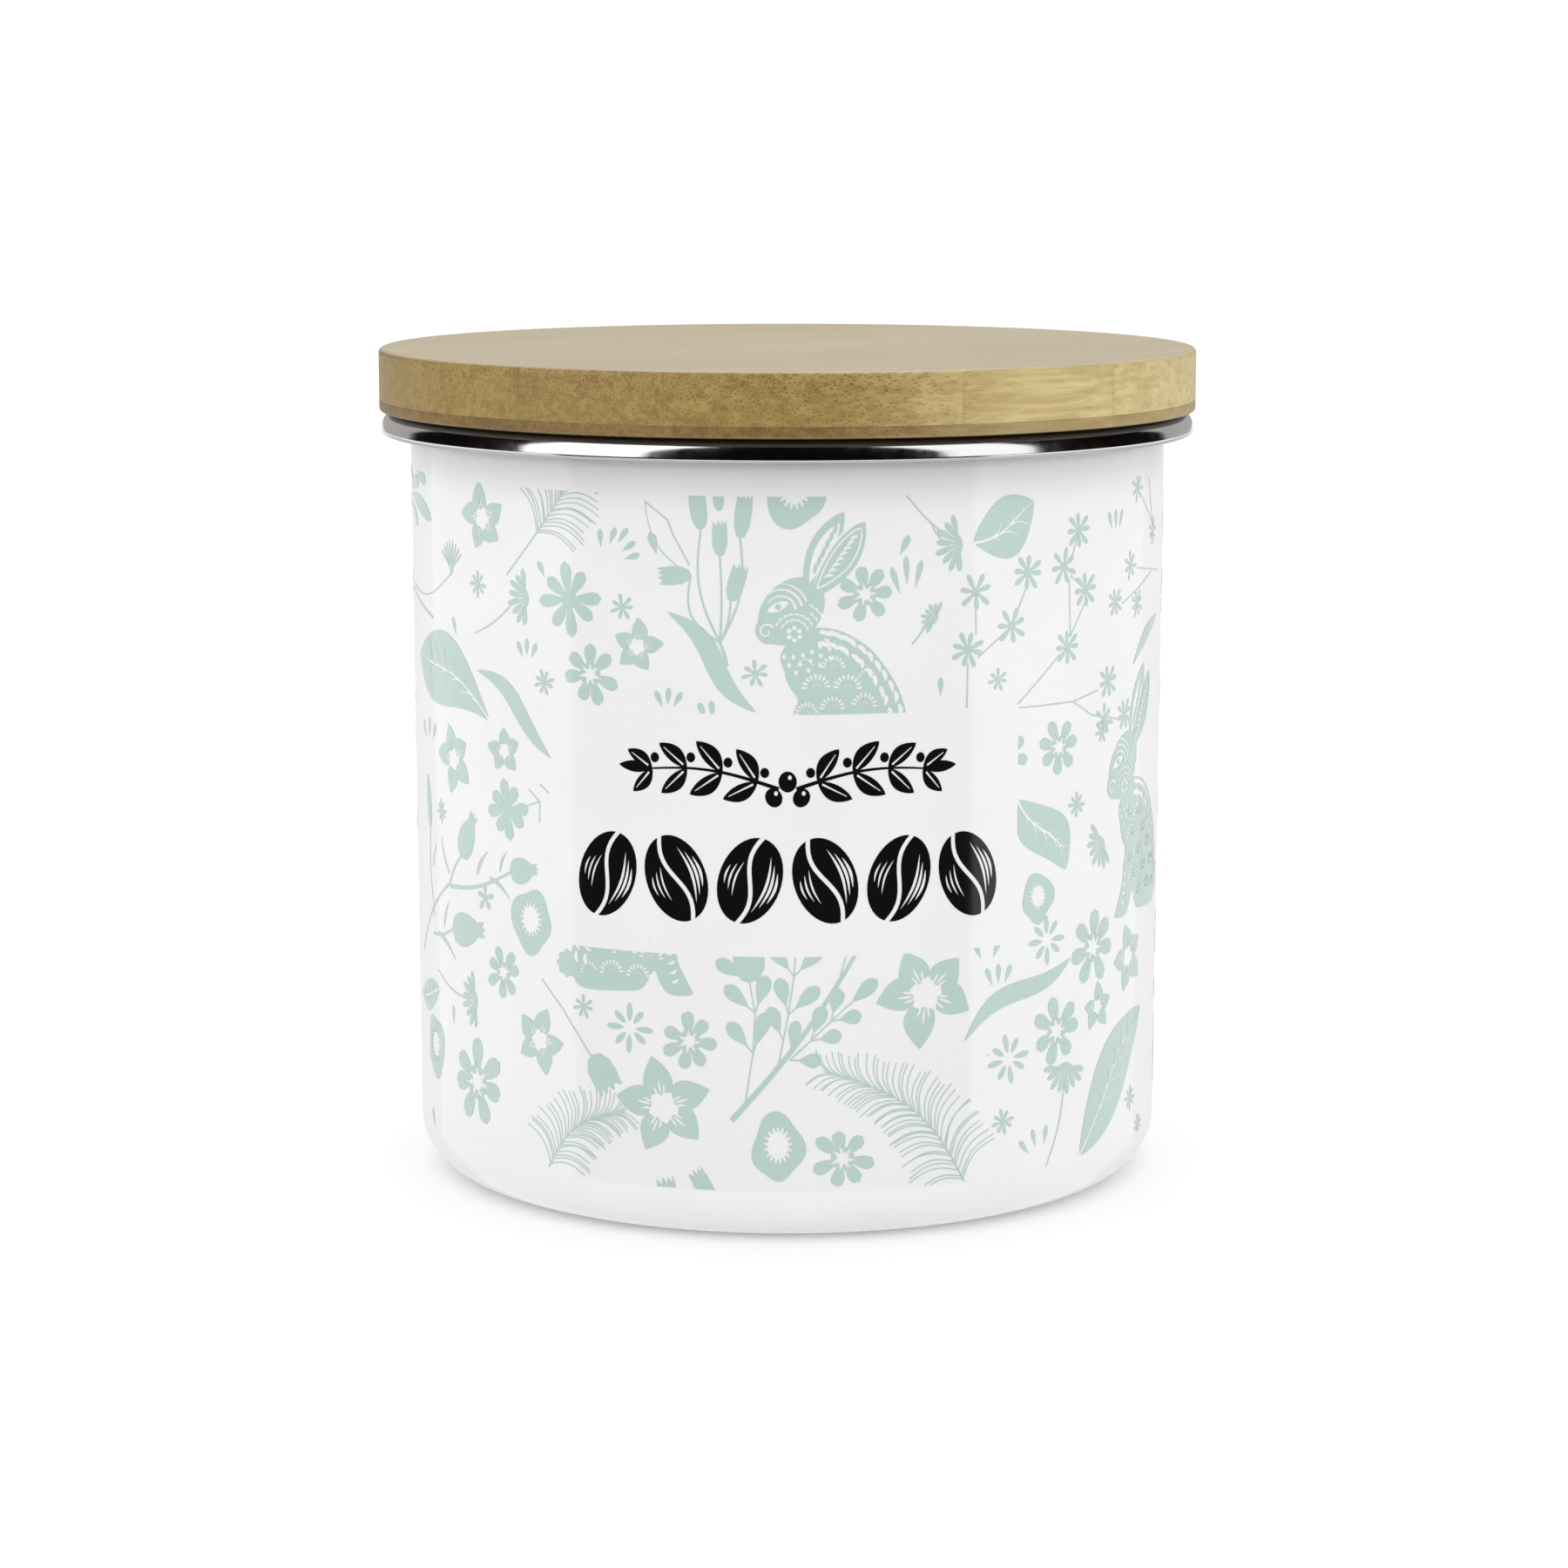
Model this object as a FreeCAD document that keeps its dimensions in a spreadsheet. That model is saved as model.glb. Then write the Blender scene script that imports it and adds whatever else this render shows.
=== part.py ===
"""Enamelled steel coffee canister with a stainless rim and a two-ply bamboo lid."""
import FreeCAD
import Part
import math
import os
import Sketcher

# Driving dimensions in millimetres and degrees. The canister stands on z = 0,
# its axis is the Z axis, and its front faces -Y.
SIZES = {
    # overall
    "overall_height": 121.8,
    "lid_radius": 60.0,
    # bamboo lid
    "lid_thickness": 9.1,
    "lid_seat_gap": 0.05,
    "top_ply": 7.4,
    "lid_top_chamfer": 0.5,
    "lid_bottom_chamfer": 0.4,
    "plug_radius": 52.4,
    "plug_depth": 8.0,
    "plug_chamfer": 0.9,
    "groove_drop": 2.0,
    "groove_height": 3.8,
    "groove_depth": 2.4,
    "grain_angle": 36.0,
    "stave_width": 21.7,
    "top_joint_line": -58.5,
    "lower_joint_line": -47.2,
    # drawn steel pot, enamel included
    "wall": 1.0,
    "wall_top_radius": 55.5,
    "wall_base_radius": 55.0,
    "base_corner": 7.8,
    "base_lift": 0.8,
    "dish_radius": 40.0,
    "foot_inner_radius": 44.0,
    "neck_bend": 1.0,
    # lip of the pot and the steel rim rolled round it
    "rim_gauge": 0.5,
    "rim_bore": 56.5,
    "rim_top_radius": 59.3,
    "rim_radius": 59.9,
    "rim_depth": 3.35,
    "rim_hook_radius": 57.6,
    "rim_shoulder": 2.3,
    "rim_lower_round": 0.7,
    "rim_edge_round": 0.2,
    # silicone seal
    "seal_clearance": 0.05,
    "seal_core_radius": 52.2,
    "seal_lip_radius": 54.42,
    "seal_lip": 0.7,
}
SEAL_LIPS = 3
TOP_STAVES = 7
LOWER_STAVES = 6
TOLERANCE = 1e-4


class Size:
    """A length that carries its value and the sheet expression it comes from."""

    def __init__(self, text, value):
        self.text = text
        self.value = value

    def combine(self, other, sign, value):
        other_text = other.text if isinstance(other, Size) else repr(other)
        return Size(f"({self.text} {sign} {other_text})", value)

    def __add__(self, other):
        return self.combine(other, "+", self.value + number(other))

    def __sub__(self, other):
        return self.combine(other, "-", self.value - number(other))

    def __mul__(self, other):
        return self.combine(other, "*", self.value * number(other))


def number(length):
    """The plain value of a Size or of a number."""
    return length.value if isinstance(length, Size) else length


class Sheet:
    """The driving dimensions, read as attributes: sheet.wall is a Size."""

    def __init__(self, doc):
        self.cells = doc.addObject("Spreadsheet::Sheet", "Sizes")
        for row, (alias, value) in enumerate(SIZES.items(), start=1):
            self.cells.set(f"A{row}", alias)
            self.cells.set(f"B{row}", str(value))
            self.cells.setAlias(f"B{row}", alias)
            setattr(self, alias, Size(f"Sizes.{alias}", value))


def bind(target, prop, length):
    """Tie one property to the sheet."""
    target.setExpression(prop, length.text)


def origin_feature(body, role):
    """A plane or axis of the body's own origin."""
    return next(item for item in body.Origin.OriginFeatures if item.Role == role)


def draw_outline(body, points):
    """A closed outline on the body's XZ plane, each corner held by its radius and height."""
    sketch = body.newObject("Sketcher::SketchObject", body.Name + "Outline")
    sketch.AttachmentSupport = (origin_feature(body, "XZ_Plane"), "")
    sketch.MapMode = "FlatFace"
    corners = [FreeCAD.Vector(number(r), number(z), 0) for r, z in points]
    for start, end in zip(corners, corners[1:] + corners[:1]):
        sketch.addGeometry(Part.LineSegment(start, end), False)
    for index, (radius, height) in enumerate(points):
        previous = index - 1 if index else len(points) - 1
        sketch.addConstraint(Sketcher.Constraint("Coincident", previous, 2, index, 1))
        for kind, length in (("DistanceX", radius), ("DistanceY", height)):
            held = sketch.addConstraint(
                Sketcher.Constraint(kind, -1, 1, index, 1, number(length)))
            if isinstance(length, Size):
                bind(sketch, f"Constraints[{held}]", length)
    return sketch


def circle_edges(shape, corners):
    """Names of the circular edges that pass through the given outline corners."""
    names = []
    for radius, height in corners:
        found = [
            f"Edge{index}"
            for index, edge in enumerate(shape.Edges, start=1)
            if isinstance(edge.Curve, Part.Circle)
            and abs(edge.Curve.Radius - number(radius)) < TOLERANCE
            and abs(edge.Curve.Center.z - number(height)) < TOLERANCE
        ]
        if not found:
            raise RuntimeError(f"no edge at radius {number(radius)}, height {number(height)}")
        names.extend(found)
    return names


def dress(doc, body, kind, size, corners):
    """A Fillet or Chamfer of one size on the circles at the given corners."""
    base = body.Tip
    feature = body.newObject("PartDesign::" + kind, body.Name + kind)
    feature.Base = (base, circle_edges(base.Shape, corners))
    bind(feature, "Radius" if kind == "Fillet" else "Size", size)
    doc.recompute()


def turn(doc, label, points):
    """A PartDesign body made by turning an outline about the Z axis."""
    body = doc.addObject("PartDesign::Body", label)
    body.Label = label
    sketch = draw_outline(body, points)
    turned = body.newObject("PartDesign::Revolution", label + "Turned")
    turned.Profile = sketch
    turned.ReferenceAxis = (sketch, ["V_Axis"])
    turned.Angle = 360.0
    sketch.Visibility = False
    doc.recompute()
    return body


def make_canister_body(doc, sheet):
    """The deep-drawn pot: dished base, drafted wall and a lip turned out and down."""
    lip_top = sheet.overall_height - sheet.lid_thickness - sheet.lid_seat_gap - sheet.rim_gauge
    neck = (sheet.wall_top_radius, lip_top - sheet.wall)
    lip_bottom = lip_top + sheet.rim_gauge * 2 - sheet.rim_depth
    lip_shoulder = (sheet.rim_top_radius - sheet.rim_gauge, lip_top)
    lip_edge = (sheet.rim_radius - sheet.rim_gauge, lip_bottom)
    lip_inside = (lip_shoulder[0] - sheet.wall, lip_top - sheet.wall)
    lip_inner_edge = (lip_edge[0] - sheet.wall, lip_bottom)
    mouth = (sheet.wall_top_radius - sheet.wall, lip_top)
    foot_corner = (sheet.wall_base_radius, 0)
    floor_corner = (sheet.wall_base_radius - sheet.wall, sheet.wall)
    body = turn(doc, "canister_body", [
        (0, sheet.base_lift),
        (sheet.dish_radius, sheet.base_lift),
        (sheet.foot_inner_radius, 0),
        foot_corner,
        neck,
        lip_inside,
        lip_inner_edge,
        lip_edge,
        lip_shoulder,
        mouth,
        floor_corner,
        (sheet.foot_inner_radius, sheet.wall),
        (sheet.dish_radius, sheet.base_lift + sheet.wall),
        (0, sheet.base_lift + sheet.wall),
    ])
    dress(doc, body, "Fillet", sheet.base_corner, [foot_corner])
    dress(doc, body, "Fillet", sheet.base_corner - sheet.wall, [floor_corner])
    dress(doc, body, "Fillet", sheet.neck_bend, [neck])
    dress(doc, body, "Fillet", sheet.neck_bend + sheet.wall, [mouth])
    dress(doc, body, "Fillet", sheet.rim_shoulder - sheet.rim_gauge, [lip_shoulder])
    dress(doc, body, "Fillet", sheet.rim_shoulder - sheet.rim_gauge - sheet.wall, [lip_inside])
    return body


def make_rim_ring(doc, sheet):
    """The polished strip formed over the lip and hooked in below it."""
    crown = sheet.overall_height - sheet.lid_thickness - sheet.lid_seat_gap
    lip_top = crown - sheet.rim_gauge
    hook_bottom = crown - sheet.rim_depth
    lip_bottom = hook_bottom + sheet.rim_gauge
    inner_shoulder = (sheet.rim_top_radius - sheet.rim_gauge, lip_top)
    outer_shoulder = (sheet.rim_top_radius, crown)
    widest = (sheet.rim_radius, hook_bottom)
    bore_edge = (sheet.rim_bore, crown)
    body = turn(doc, "rim_ring", [
        (sheet.rim_bore, lip_top),
        inner_shoulder,
        (sheet.rim_radius - sheet.rim_gauge, lip_bottom),
        (sheet.rim_hook_radius, lip_bottom),
        (sheet.rim_hook_radius, hook_bottom),
        widest,
        outer_shoulder,
        bore_edge,
    ])
    dress(doc, body, "Fillet", sheet.rim_shoulder - sheet.rim_gauge, [inner_shoulder])
    dress(doc, body, "Fillet", sheet.rim_shoulder, [outer_shoulder])
    dress(doc, body, "Fillet", sheet.rim_lower_round, [widest])
    dress(doc, body, "Fillet", sheet.rim_edge_round, [bore_edge])
    return body


def groove_span(sheet):
    """Heights of the bottom and top of the seal groove in the lid's plug."""
    top = sheet.overall_height - sheet.lid_thickness - sheet.groove_drop
    return top - sheet.groove_height, top


def make_lid_seal(doc, sheet):
    """The silicone ring: a core in the plug's groove with thin lips towards the wall."""
    groove_bottom, groove_top = groove_span(sheet)
    bottom = groove_bottom + sheet.seal_clearance
    top = groove_top - sheet.seal_clearance
    bore = sheet.plug_radius - sheet.groove_depth + sheet.seal_clearance
    pitch = (top - bottom - sheet.seal_lip) * (1 / (SEAL_LIPS - 1))
    outline = [(bore, bottom)]
    for index in range(SEAL_LIPS):
        under = bottom + pitch * index
        over = under + sheet.seal_lip
        if index:
            outline.append((sheet.seal_core_radius, under))
        outline.append((sheet.seal_lip_radius, under))
        outline.append((sheet.seal_lip_radius, over))
        if index < SEAL_LIPS - 1:
            outline.append((sheet.seal_core_radius, over))
    outline.append((bore, top))
    return turn(doc, "lid_seal", outline)


def make_top_blank(doc, sheet):
    """The upper ply of the lid before it is parted into staves."""
    ply_line = sheet.overall_height - sheet.top_ply
    top_edge = (sheet.lid_radius, sheet.overall_height)
    blank = turn(doc, "TopPlyBlank", [
        (0, ply_line),
        (sheet.lid_radius, ply_line),
        top_edge,
        (0, sheet.overall_height),
    ])
    dress(doc, blank, "Chamfer", sheet.lid_top_chamfer, [top_edge])
    return blank


def make_lower_blank(doc, sheet):
    """The lower ply with the plug turned on it and the groove for the seal."""
    ply_line = sheet.overall_height - sheet.top_ply
    underside = sheet.overall_height - sheet.lid_thickness
    plug_bottom = underside - sheet.plug_depth
    groove_bottom, groove_top = groove_span(sheet)
    groove_radius = sheet.plug_radius - sheet.groove_depth
    lower_edge = (sheet.lid_radius, underside)
    plug_edge = (sheet.plug_radius, plug_bottom)
    blank = turn(doc, "LowerPlyBlank", [
        (0, plug_bottom),
        plug_edge,
        (sheet.plug_radius, groove_bottom),
        (groove_radius, groove_bottom),
        (groove_radius, groove_top),
        (sheet.plug_radius, groove_top),
        (sheet.plug_radius, underside),
        lower_edge,
        (sheet.lid_radius, ply_line),
        (0, ply_line),
    ])
    dress(doc, blank, "Chamfer", sheet.lid_bottom_chamfer, [lower_edge])
    dress(doc, blank, "Chamfer", sheet.plug_chamfer, [plug_edge])
    return blank


def part_into_staves(doc, sheet, blank, prefix, first_joint, count):
    """The glued strips of one ply, numbered from the front, turned to the grain's direction."""
    staves = []
    for index in range(count):
        label = f"{prefix}_{index + 1}"
        strip = doc.addObject("Part::Box", label + "_strip")
        bind(strip, "Length", sheet.lid_radius * 2)
        bind(strip, "Width", sheet.stave_width)
        bind(strip, "Height", sheet.overall_height)
        bind(strip, "Placement.Base.x", sheet.lid_radius * -1)
        bind(strip, "Placement.Base.y", first_joint + sheet.stave_width * (index - 1))
        stave = doc.addObject("Part::Common", label)
        stave.Label = label
        stave.Base = blank
        stave.Tool = strip
        stave.Placement = FreeCAD.Placement(
            FreeCAD.Vector(0, 0, 0),
            FreeCAD.Rotation(FreeCAD.Vector(0, 0, 1), sheet.grain_angle.value))
        bind(stave, "Placement.Rotation.Angle", sheet.grain_angle)
        staves.append(stave)
    return staves


def check(doc, nodes):
    """Stop unless every object computed and every sub-part is one valid solid."""
    failed = [item.Name for item in doc.Objects if {"Invalid", "Error"} & set(item.State)]
    if failed:
        raise RuntimeError("failed objects: " + ", ".join(failed))
    for node in nodes:
        shape = node.Shape
        if shape.isNull() or not shape.isValid() or len(shape.Solids) != 1:
            raise RuntimeError(f"{node.Label} is not one valid solid")
        box = shape.BoundBox
        print(f"{node.Label:22s} volume {shape.Volume:10.1f} mm3, z {box.ZMin:7.2f} to {box.ZMax:7.2f}")


def main():
    doc = FreeCAD.newDocument("CoffeeCanister")
    sheet = Sheet(doc)
    doc.recompute()
    nodes = [
        make_canister_body(doc, sheet),
        make_rim_ring(doc, sheet),
        make_lid_seal(doc, sheet),
    ]
    top_blank = make_top_blank(doc, sheet)
    lower_blank = make_lower_blank(doc, sheet)
    nodes += part_into_staves(
        doc, sheet, top_blank, "lid_top_stave", sheet.top_joint_line, TOP_STAVES)
    nodes += part_into_staves(
        doc, sheet, lower_blank, "lid_lower_stave", sheet.lower_joint_line, LOWER_STAVES)
    doc.recompute()
    check(doc, nodes)
    os.makedirs("parts", exist_ok=True)
    for node in nodes:
        node.Shape.exportStep(os.path.join("parts", node.Label + ".step"))


main()
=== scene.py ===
"""Looks of the enamel coffee canister: enamel, print, steel rim, bamboo lid and silicone seal.

Lengths are in millimetres unless a name says otherwise, and MM turns them into Blender's metres.
The canister's front faces -Y. Flat artwork is drawn with complex numbers, x + yi, in millimetres.
A place on the wall is also one complex number: the angle from the front in degrees, positive to
the right, plus the height times i.
"""
import cmath
import math
import random

import bmesh
import bpy
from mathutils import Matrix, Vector
from mathutils.geometry import delaunay_2d_cdt


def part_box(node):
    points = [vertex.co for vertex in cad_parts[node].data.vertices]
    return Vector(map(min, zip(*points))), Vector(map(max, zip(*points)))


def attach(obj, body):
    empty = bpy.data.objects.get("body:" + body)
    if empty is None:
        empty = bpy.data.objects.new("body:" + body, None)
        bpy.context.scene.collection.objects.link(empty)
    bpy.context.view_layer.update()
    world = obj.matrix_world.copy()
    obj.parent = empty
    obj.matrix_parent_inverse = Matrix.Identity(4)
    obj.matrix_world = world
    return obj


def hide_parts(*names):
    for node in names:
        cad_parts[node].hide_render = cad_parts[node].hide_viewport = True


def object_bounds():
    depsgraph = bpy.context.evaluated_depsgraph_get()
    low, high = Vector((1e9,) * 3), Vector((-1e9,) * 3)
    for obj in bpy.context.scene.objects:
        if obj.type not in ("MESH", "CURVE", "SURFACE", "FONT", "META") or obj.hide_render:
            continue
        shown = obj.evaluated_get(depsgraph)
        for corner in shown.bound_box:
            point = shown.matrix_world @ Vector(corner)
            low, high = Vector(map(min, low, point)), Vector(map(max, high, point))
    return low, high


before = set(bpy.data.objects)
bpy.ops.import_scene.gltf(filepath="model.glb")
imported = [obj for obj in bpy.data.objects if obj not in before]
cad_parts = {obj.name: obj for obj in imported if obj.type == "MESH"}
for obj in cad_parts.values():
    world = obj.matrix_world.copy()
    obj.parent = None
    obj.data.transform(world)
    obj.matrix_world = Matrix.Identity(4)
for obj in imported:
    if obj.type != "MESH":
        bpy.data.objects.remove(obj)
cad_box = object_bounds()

MM = 0.001


# ---------------------------------------------------------------- sizes

def low(node):
    """Height of the lowest point of a CAD node."""
    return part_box(node)[0][2] / MM


def high(node, axis=2):
    """Highest coordinate of a CAD node along one axis, which is its height unless given."""
    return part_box(node)[1][axis] / MM


HEIGHT = high("lid_top_stave_4")
LID_RADIUS = round((cad_box[1][0] - cad_box[0][0]) / 2 / MM, 1)
PLY_LINE = low("lid_top_stave_4")
PLUG_BOTTOM = low("lid_lower_stave_4")
LID_UNDERSIDE = HEIGHT - 9.1
LID_TOP_ROUND = 0.7
LID_BOTTOM_ROUND = 0.45
PLY_ROUND = 0.06
PLUG_RADIUS = 52.4
PLUG_CHAMFER = 0.9
GROOVE_DROP = 2.0
GROOVE_HEIGHT = 3.8
GROOVE_DEPTH = 2.4
GROOVE_ROUND = 0.2
GRAIN_ANGLE = 36.0
STAVE_WIDTH = 21.7
TOP_JOINT = -58.5
LOWER_JOINT = -47.2
TOP_STAVES = 7
LOWER_STAVES = 6

CROWN = high("rim_ring")
RIM_BOTTOM = low("rim_ring")
RIM_GAUGE = 0.5
RIM_BORE = 56.5
RIM_TOP_RADIUS = 59.3
RIM_RADIUS = 59.9
RIM_HOOK_RADIUS = 57.6
RIM_SHOULDER = 2.3
RIM_LOWER_ROUND = 0.7

WALL = 1.0
WALL_TOP_RADIUS = 55.5
WALL_BASE_RADIUS = 55.0
LIP_TOP = CROWN - RIM_GAUGE
NECK = LIP_TOP - WALL
BASE_CORNER = 7.8
BASE_LIFT = 0.8
DISH_RADIUS = 40.0
DISH_ROUND = 3.0
FOOT_INNER_RADIUS = 44.0

SEAL_CORE_RADIUS = 52.2
SEAL_CLEARANCE = 0.05
SEAL_LIP = 0.7
SEAL_LIPS = 3

SEGMENTS = 288
ARC_STEP = math.radians(8)
SHARP_ANGLE = math.radians(30)
SUPPORT = 0.25
CUT_NEAR = 1e-8
ON_AXIS = 1e-6


# ---------------------------------------------------------------- turned pieces

def rounded(corners):
    """A closed outline through (radius, height, fillet) corners, with arcs at the fillets."""
    points = []
    for index, (radius, height, fillet) in enumerate(corners):
        here = Vector((radius, height))
        if not fillet:
            points.append(here)
            continue
        back = (Vector(corners[index - 1][:2]) - here).normalized()
        ahead = (Vector(corners[(index + 1) % len(corners)][:2]) - here).normalized()
        half = back.angle(ahead) / 2
        centre = here + (back + ahead).normalized() * (fillet / math.sin(half))
        first = here + back * (fillet / math.tan(half)) - centre
        last = here + ahead * (fillet / math.tan(half)) - centre
        begin = math.atan2(first.y, first.x)
        sweep = (math.atan2(last.y, last.x) - begin + math.pi) % math.tau - math.pi
        steps = max(3, math.ceil(abs(sweep) / ARC_STEP))
        for step in range(steps + 1):
            angle = begin + sweep * step / steps
            points.append(centre + fillet * Vector((math.cos(angle), math.sin(angle))))
    return supported(points)


def supported(points):
    """The outline with extra points near the ends of its long runs, which keep shading true."""
    result = []
    for here, ahead in zip(points, points[1:] + points[:1]):
        result.append(here)
        run = ahead - here
        if run.length > 6 * SUPPORT:
            result.append(here + run.normalized() * SUPPORT)
            result.append(ahead - run.normalized() * SUPPORT)
    return result


def turned(corners):
    """A bmesh solid of revolution about Z, in metres."""
    mesh = bmesh.new()
    rings = []
    for point in rounded(corners):
        if point.x < ON_AXIS:
            rings.append([mesh.verts.new((0, 0, point.y * MM))])
            continue
        ring = []
        for index in range(SEGMENTS):
            angle = math.tau * index / SEGMENTS
            ring.append(mesh.verts.new((
                point.x * MM * math.cos(angle), point.x * MM * math.sin(angle), point.y * MM)))
        rings.append(ring)
    for ring, other in zip(rings, rings[1:] + rings[:1]):
        if len(ring) == 1 and len(other) == 1:
            continue
        for index in range(SEGMENTS):
            after = (index + 1) % SEGMENTS
            corner_verts = [ring[index % len(ring)], ring[after % len(ring)],
                            other[after % len(other)], other[index % len(other)]]
            mesh.faces.new(list(dict.fromkeys(corner_verts)))
    bmesh.ops.recalc_face_normals(mesh, faces=mesh.faces)
    return mesh


def link(name, data, material):
    """A Blender object that shows some mesh data in one material."""
    data.materials.append(material)
    piece = bpy.data.objects.new(name, data)
    bpy.context.scene.collection.objects.link(piece)
    return piece


def add_object(name, mesh, material):
    """A Blender object from a bmesh, smooth but for its sharp edges."""
    data = bpy.data.meshes.new(name)
    mesh.to_mesh(data)
    mesh.free()
    data.shade_smooth()
    data.set_sharp_from_angle(angle=SHARP_ANGLE)
    return link(name, data, material)


def stand_for(piece, node, body):
    """The piece replaces one CAD node and rides on its body."""
    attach(piece, body)
    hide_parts(node)


# ---------------------------------------------------------------- materials

class Shader:
    """A Principled material and short ways to add nodes to it."""

    def __init__(self, name, **inputs):
        self.material = bpy.data.materials.new(name)
        self.material.use_nodes = True
        self.tree = self.material.node_tree
        self.bsdf = self.tree.nodes["Principled BSDF"]
        self.look(**inputs)

    def look(self, **inputs):
        """Sets inputs of the Principled node; the spaces in their names are underscores here."""
        for socket, value in inputs.items():
            self.put(self.bsdf, socket.replace("_", " "), value)

    def put(self, node, socket, value):
        if isinstance(value, bpy.types.NodeSocket):
            self.tree.links.new(value, node.inputs[socket])
        elif isinstance(value, tuple) and len(value) == 3 and node.inputs[socket].type == "RGBA":
            node.inputs[socket].default_value = (*value, 1.0)
        else:
            node.inputs[socket].default_value = value

    def add(self, kind, settings, inputs, output=0):
        node = self.tree.nodes.new("ShaderNode" + kind)
        for key, value in settings.items():
            setattr(node, key, value)
        for socket, value in inputs.items():
            self.put(node, socket, value)
        return node.outputs[output]

    def math(self, operation, first, second=0.0):
        return self.add("Math", {"operation": operation}, {0: first, 1: second})

    def times(self, first, second):
        return self.math("MULTIPLY", first, second)

    def plus(self, first, second):
        return self.math("ADD", first, second)

    def minus(self, first, second):
        return self.math("SUBTRACT", first, second)

    def scale(self, vector, factor):
        return self.add("VectorMath", {"operation": "SCALE"}, {0: vector, "Scale": factor})

    def mix(self, share, first, second):
        return self.add("Mix", {"data_type": "RGBA"}, {0: share, 6: first, 7: second}, 2)

    def range(self, value, start, end, to_start=0.0, to_end=1.0):
        return self.add("MapRange", {"interpolation_type": "SMOOTHSTEP"}, {
            "Value": value, "From Min": start, "From Max": end,
            "To Min": to_start, "To Max": to_end})

    def place(self, turn=0.0):
        """Object coordinates in millimetres, turned about Z by minus the given degrees."""
        coordinates = self.add("TexCoord", {}, {}, "Object")
        return self.add("Mapping", {}, {
            "Vector": coordinates, "Rotation": (0, 0, -math.radians(turn)),
            "Scale": (1 / MM, 1 / MM, 1 / MM)})

    def facing(self):
        return self.add("TexCoord", {}, {}, "Normal")

    def parts(self, vector):
        node = self.tree.nodes.new("ShaderNodeSeparateXYZ")
        self.put(node, 0, vector)
        return node.outputs

    def join(self, x, y, z):
        return self.add("CombineXYZ", {}, {0: x, 1: y, 2: z})

    def noise(self, vector, scale, detail=2.0, roughness=0.5):
        return self.add("TexNoise", {}, {
            "Vector": vector, "Scale": scale, "Detail": detail, "Roughness": roughness})

    def bump(self, height, strength, distance):
        self.look(Normal=self.add("Bump", {}, {
            "Height": height, "Strength": strength, "Distance": distance * MM}))


def enamel_material(name, colour, mottle):
    """Fired enamel: glassy, faintly wavy, with a little mottling, a rare dark fleck and painted shade close
    under the rim.
    """
    shader = Shader(name, IOR=1.5, Coat_Weight=0.0)
    place = shader.place()
    cloud = shader.noise(place, 0.06, 3.0)
    tinted = shader.scale(colour, shader.range(cloud, 0.35, 0.65, 1.0 - mottle, 1.0))
    # painted shade: the wall is darkened close under the rim's strip, where the rim shades it
    height = shader.parts(place)[2]
    near = shader.range(height, RIM_BOTTOM - 1.6, RIM_BOTTOM - 0.2, 1.0, 0.78)
    far = shader.range(height, RIM_BOTTOM - 8.0, RIM_BOTTOM - 1.0, 1.0, 0.84)
    above = shader.range(height, RIM_BOTTOM, RIM_BOTTOM + 0.3, 0.0, 1.0)
    tinted = shader.scale(tinted, shader.math("MAXIMUM", above, shader.times(near, far)))
    cells = shader.add("TexVoronoi", {}, {"Vector": place, "Scale": 0.11})
    fleck = shader.range(cells, 0.012, 0.02, 1.0, 0.0)
    wear = shader.noise(place, 1.7, 4.0, 0.6)
    shader.look(Base_Color=shader.mix(shader.times(fleck, 0.5), tinted, (0.2, 0.19, 0.18)),
                Roughness=shader.range(wear, 0.3, 0.75, 0.07, 0.13))
    shader.bump(shader.noise(place, 0.35, 1.0), 0.12, 0.05)
    return shader.material


def steel_material():
    """Polished stainless: mirror bright, with faint turning marks, small scuffs and painted shade on the
    faces that look down.
    """
    shader = Shader("polished_steel", Metallic=1.0)
    place = shader.place()
    x, y, z = shader.parts(place)
    radius = shader.math("POWER", shader.plus(shader.times(x, x), shader.times(y, y)), 0.5)
    turning = shader.noise(shader.join(radius, 0.0, z), 9.0, 3.0, 0.7)
    scuffs = shader.noise(place, 0.5, 6.0, 0.7)
    polished = shader.mix(scuffs, (0.74, 0.74, 0.75), (0.86, 0.86, 0.86))
    # painted shade: faces that look down, on the rim's underside, are darkened towards a dark grey
    upward = shader.parts(shader.facing())[2]
    painted_underside_shade = shader.range(upward, -0.45, 0.0, 0.62, 0.0)
    shader.look(Base_Color=shader.mix(painted_underside_shade, polished, (0.14, 0.135, 0.13)),
                Roughness=shader.range(scuffs, 0.35, 0.8, 0.11, 0.2))
    shader.bump(turning, 0.1, 0.01)
    return shader.material


def silicone_material():
    """Milky silicone rubber with a soft satin skin."""
    shader = Shader("silicone", Roughness=0.42, IOR=1.41, Subsurface_Weight=0.35, Subsurface_Scale=0.003)
    place = shader.place()
    cloud = shader.noise(place, 0.12, 3.0)
    shader.look(Base_Color=shader.mix(cloud, (0.80, 0.80, 0.76), (0.88, 0.88, 0.86)))
    shader.bump(shader.noise(place, 2.5, 3.0), 0.1, 0.03)
    return shader.material


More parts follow.
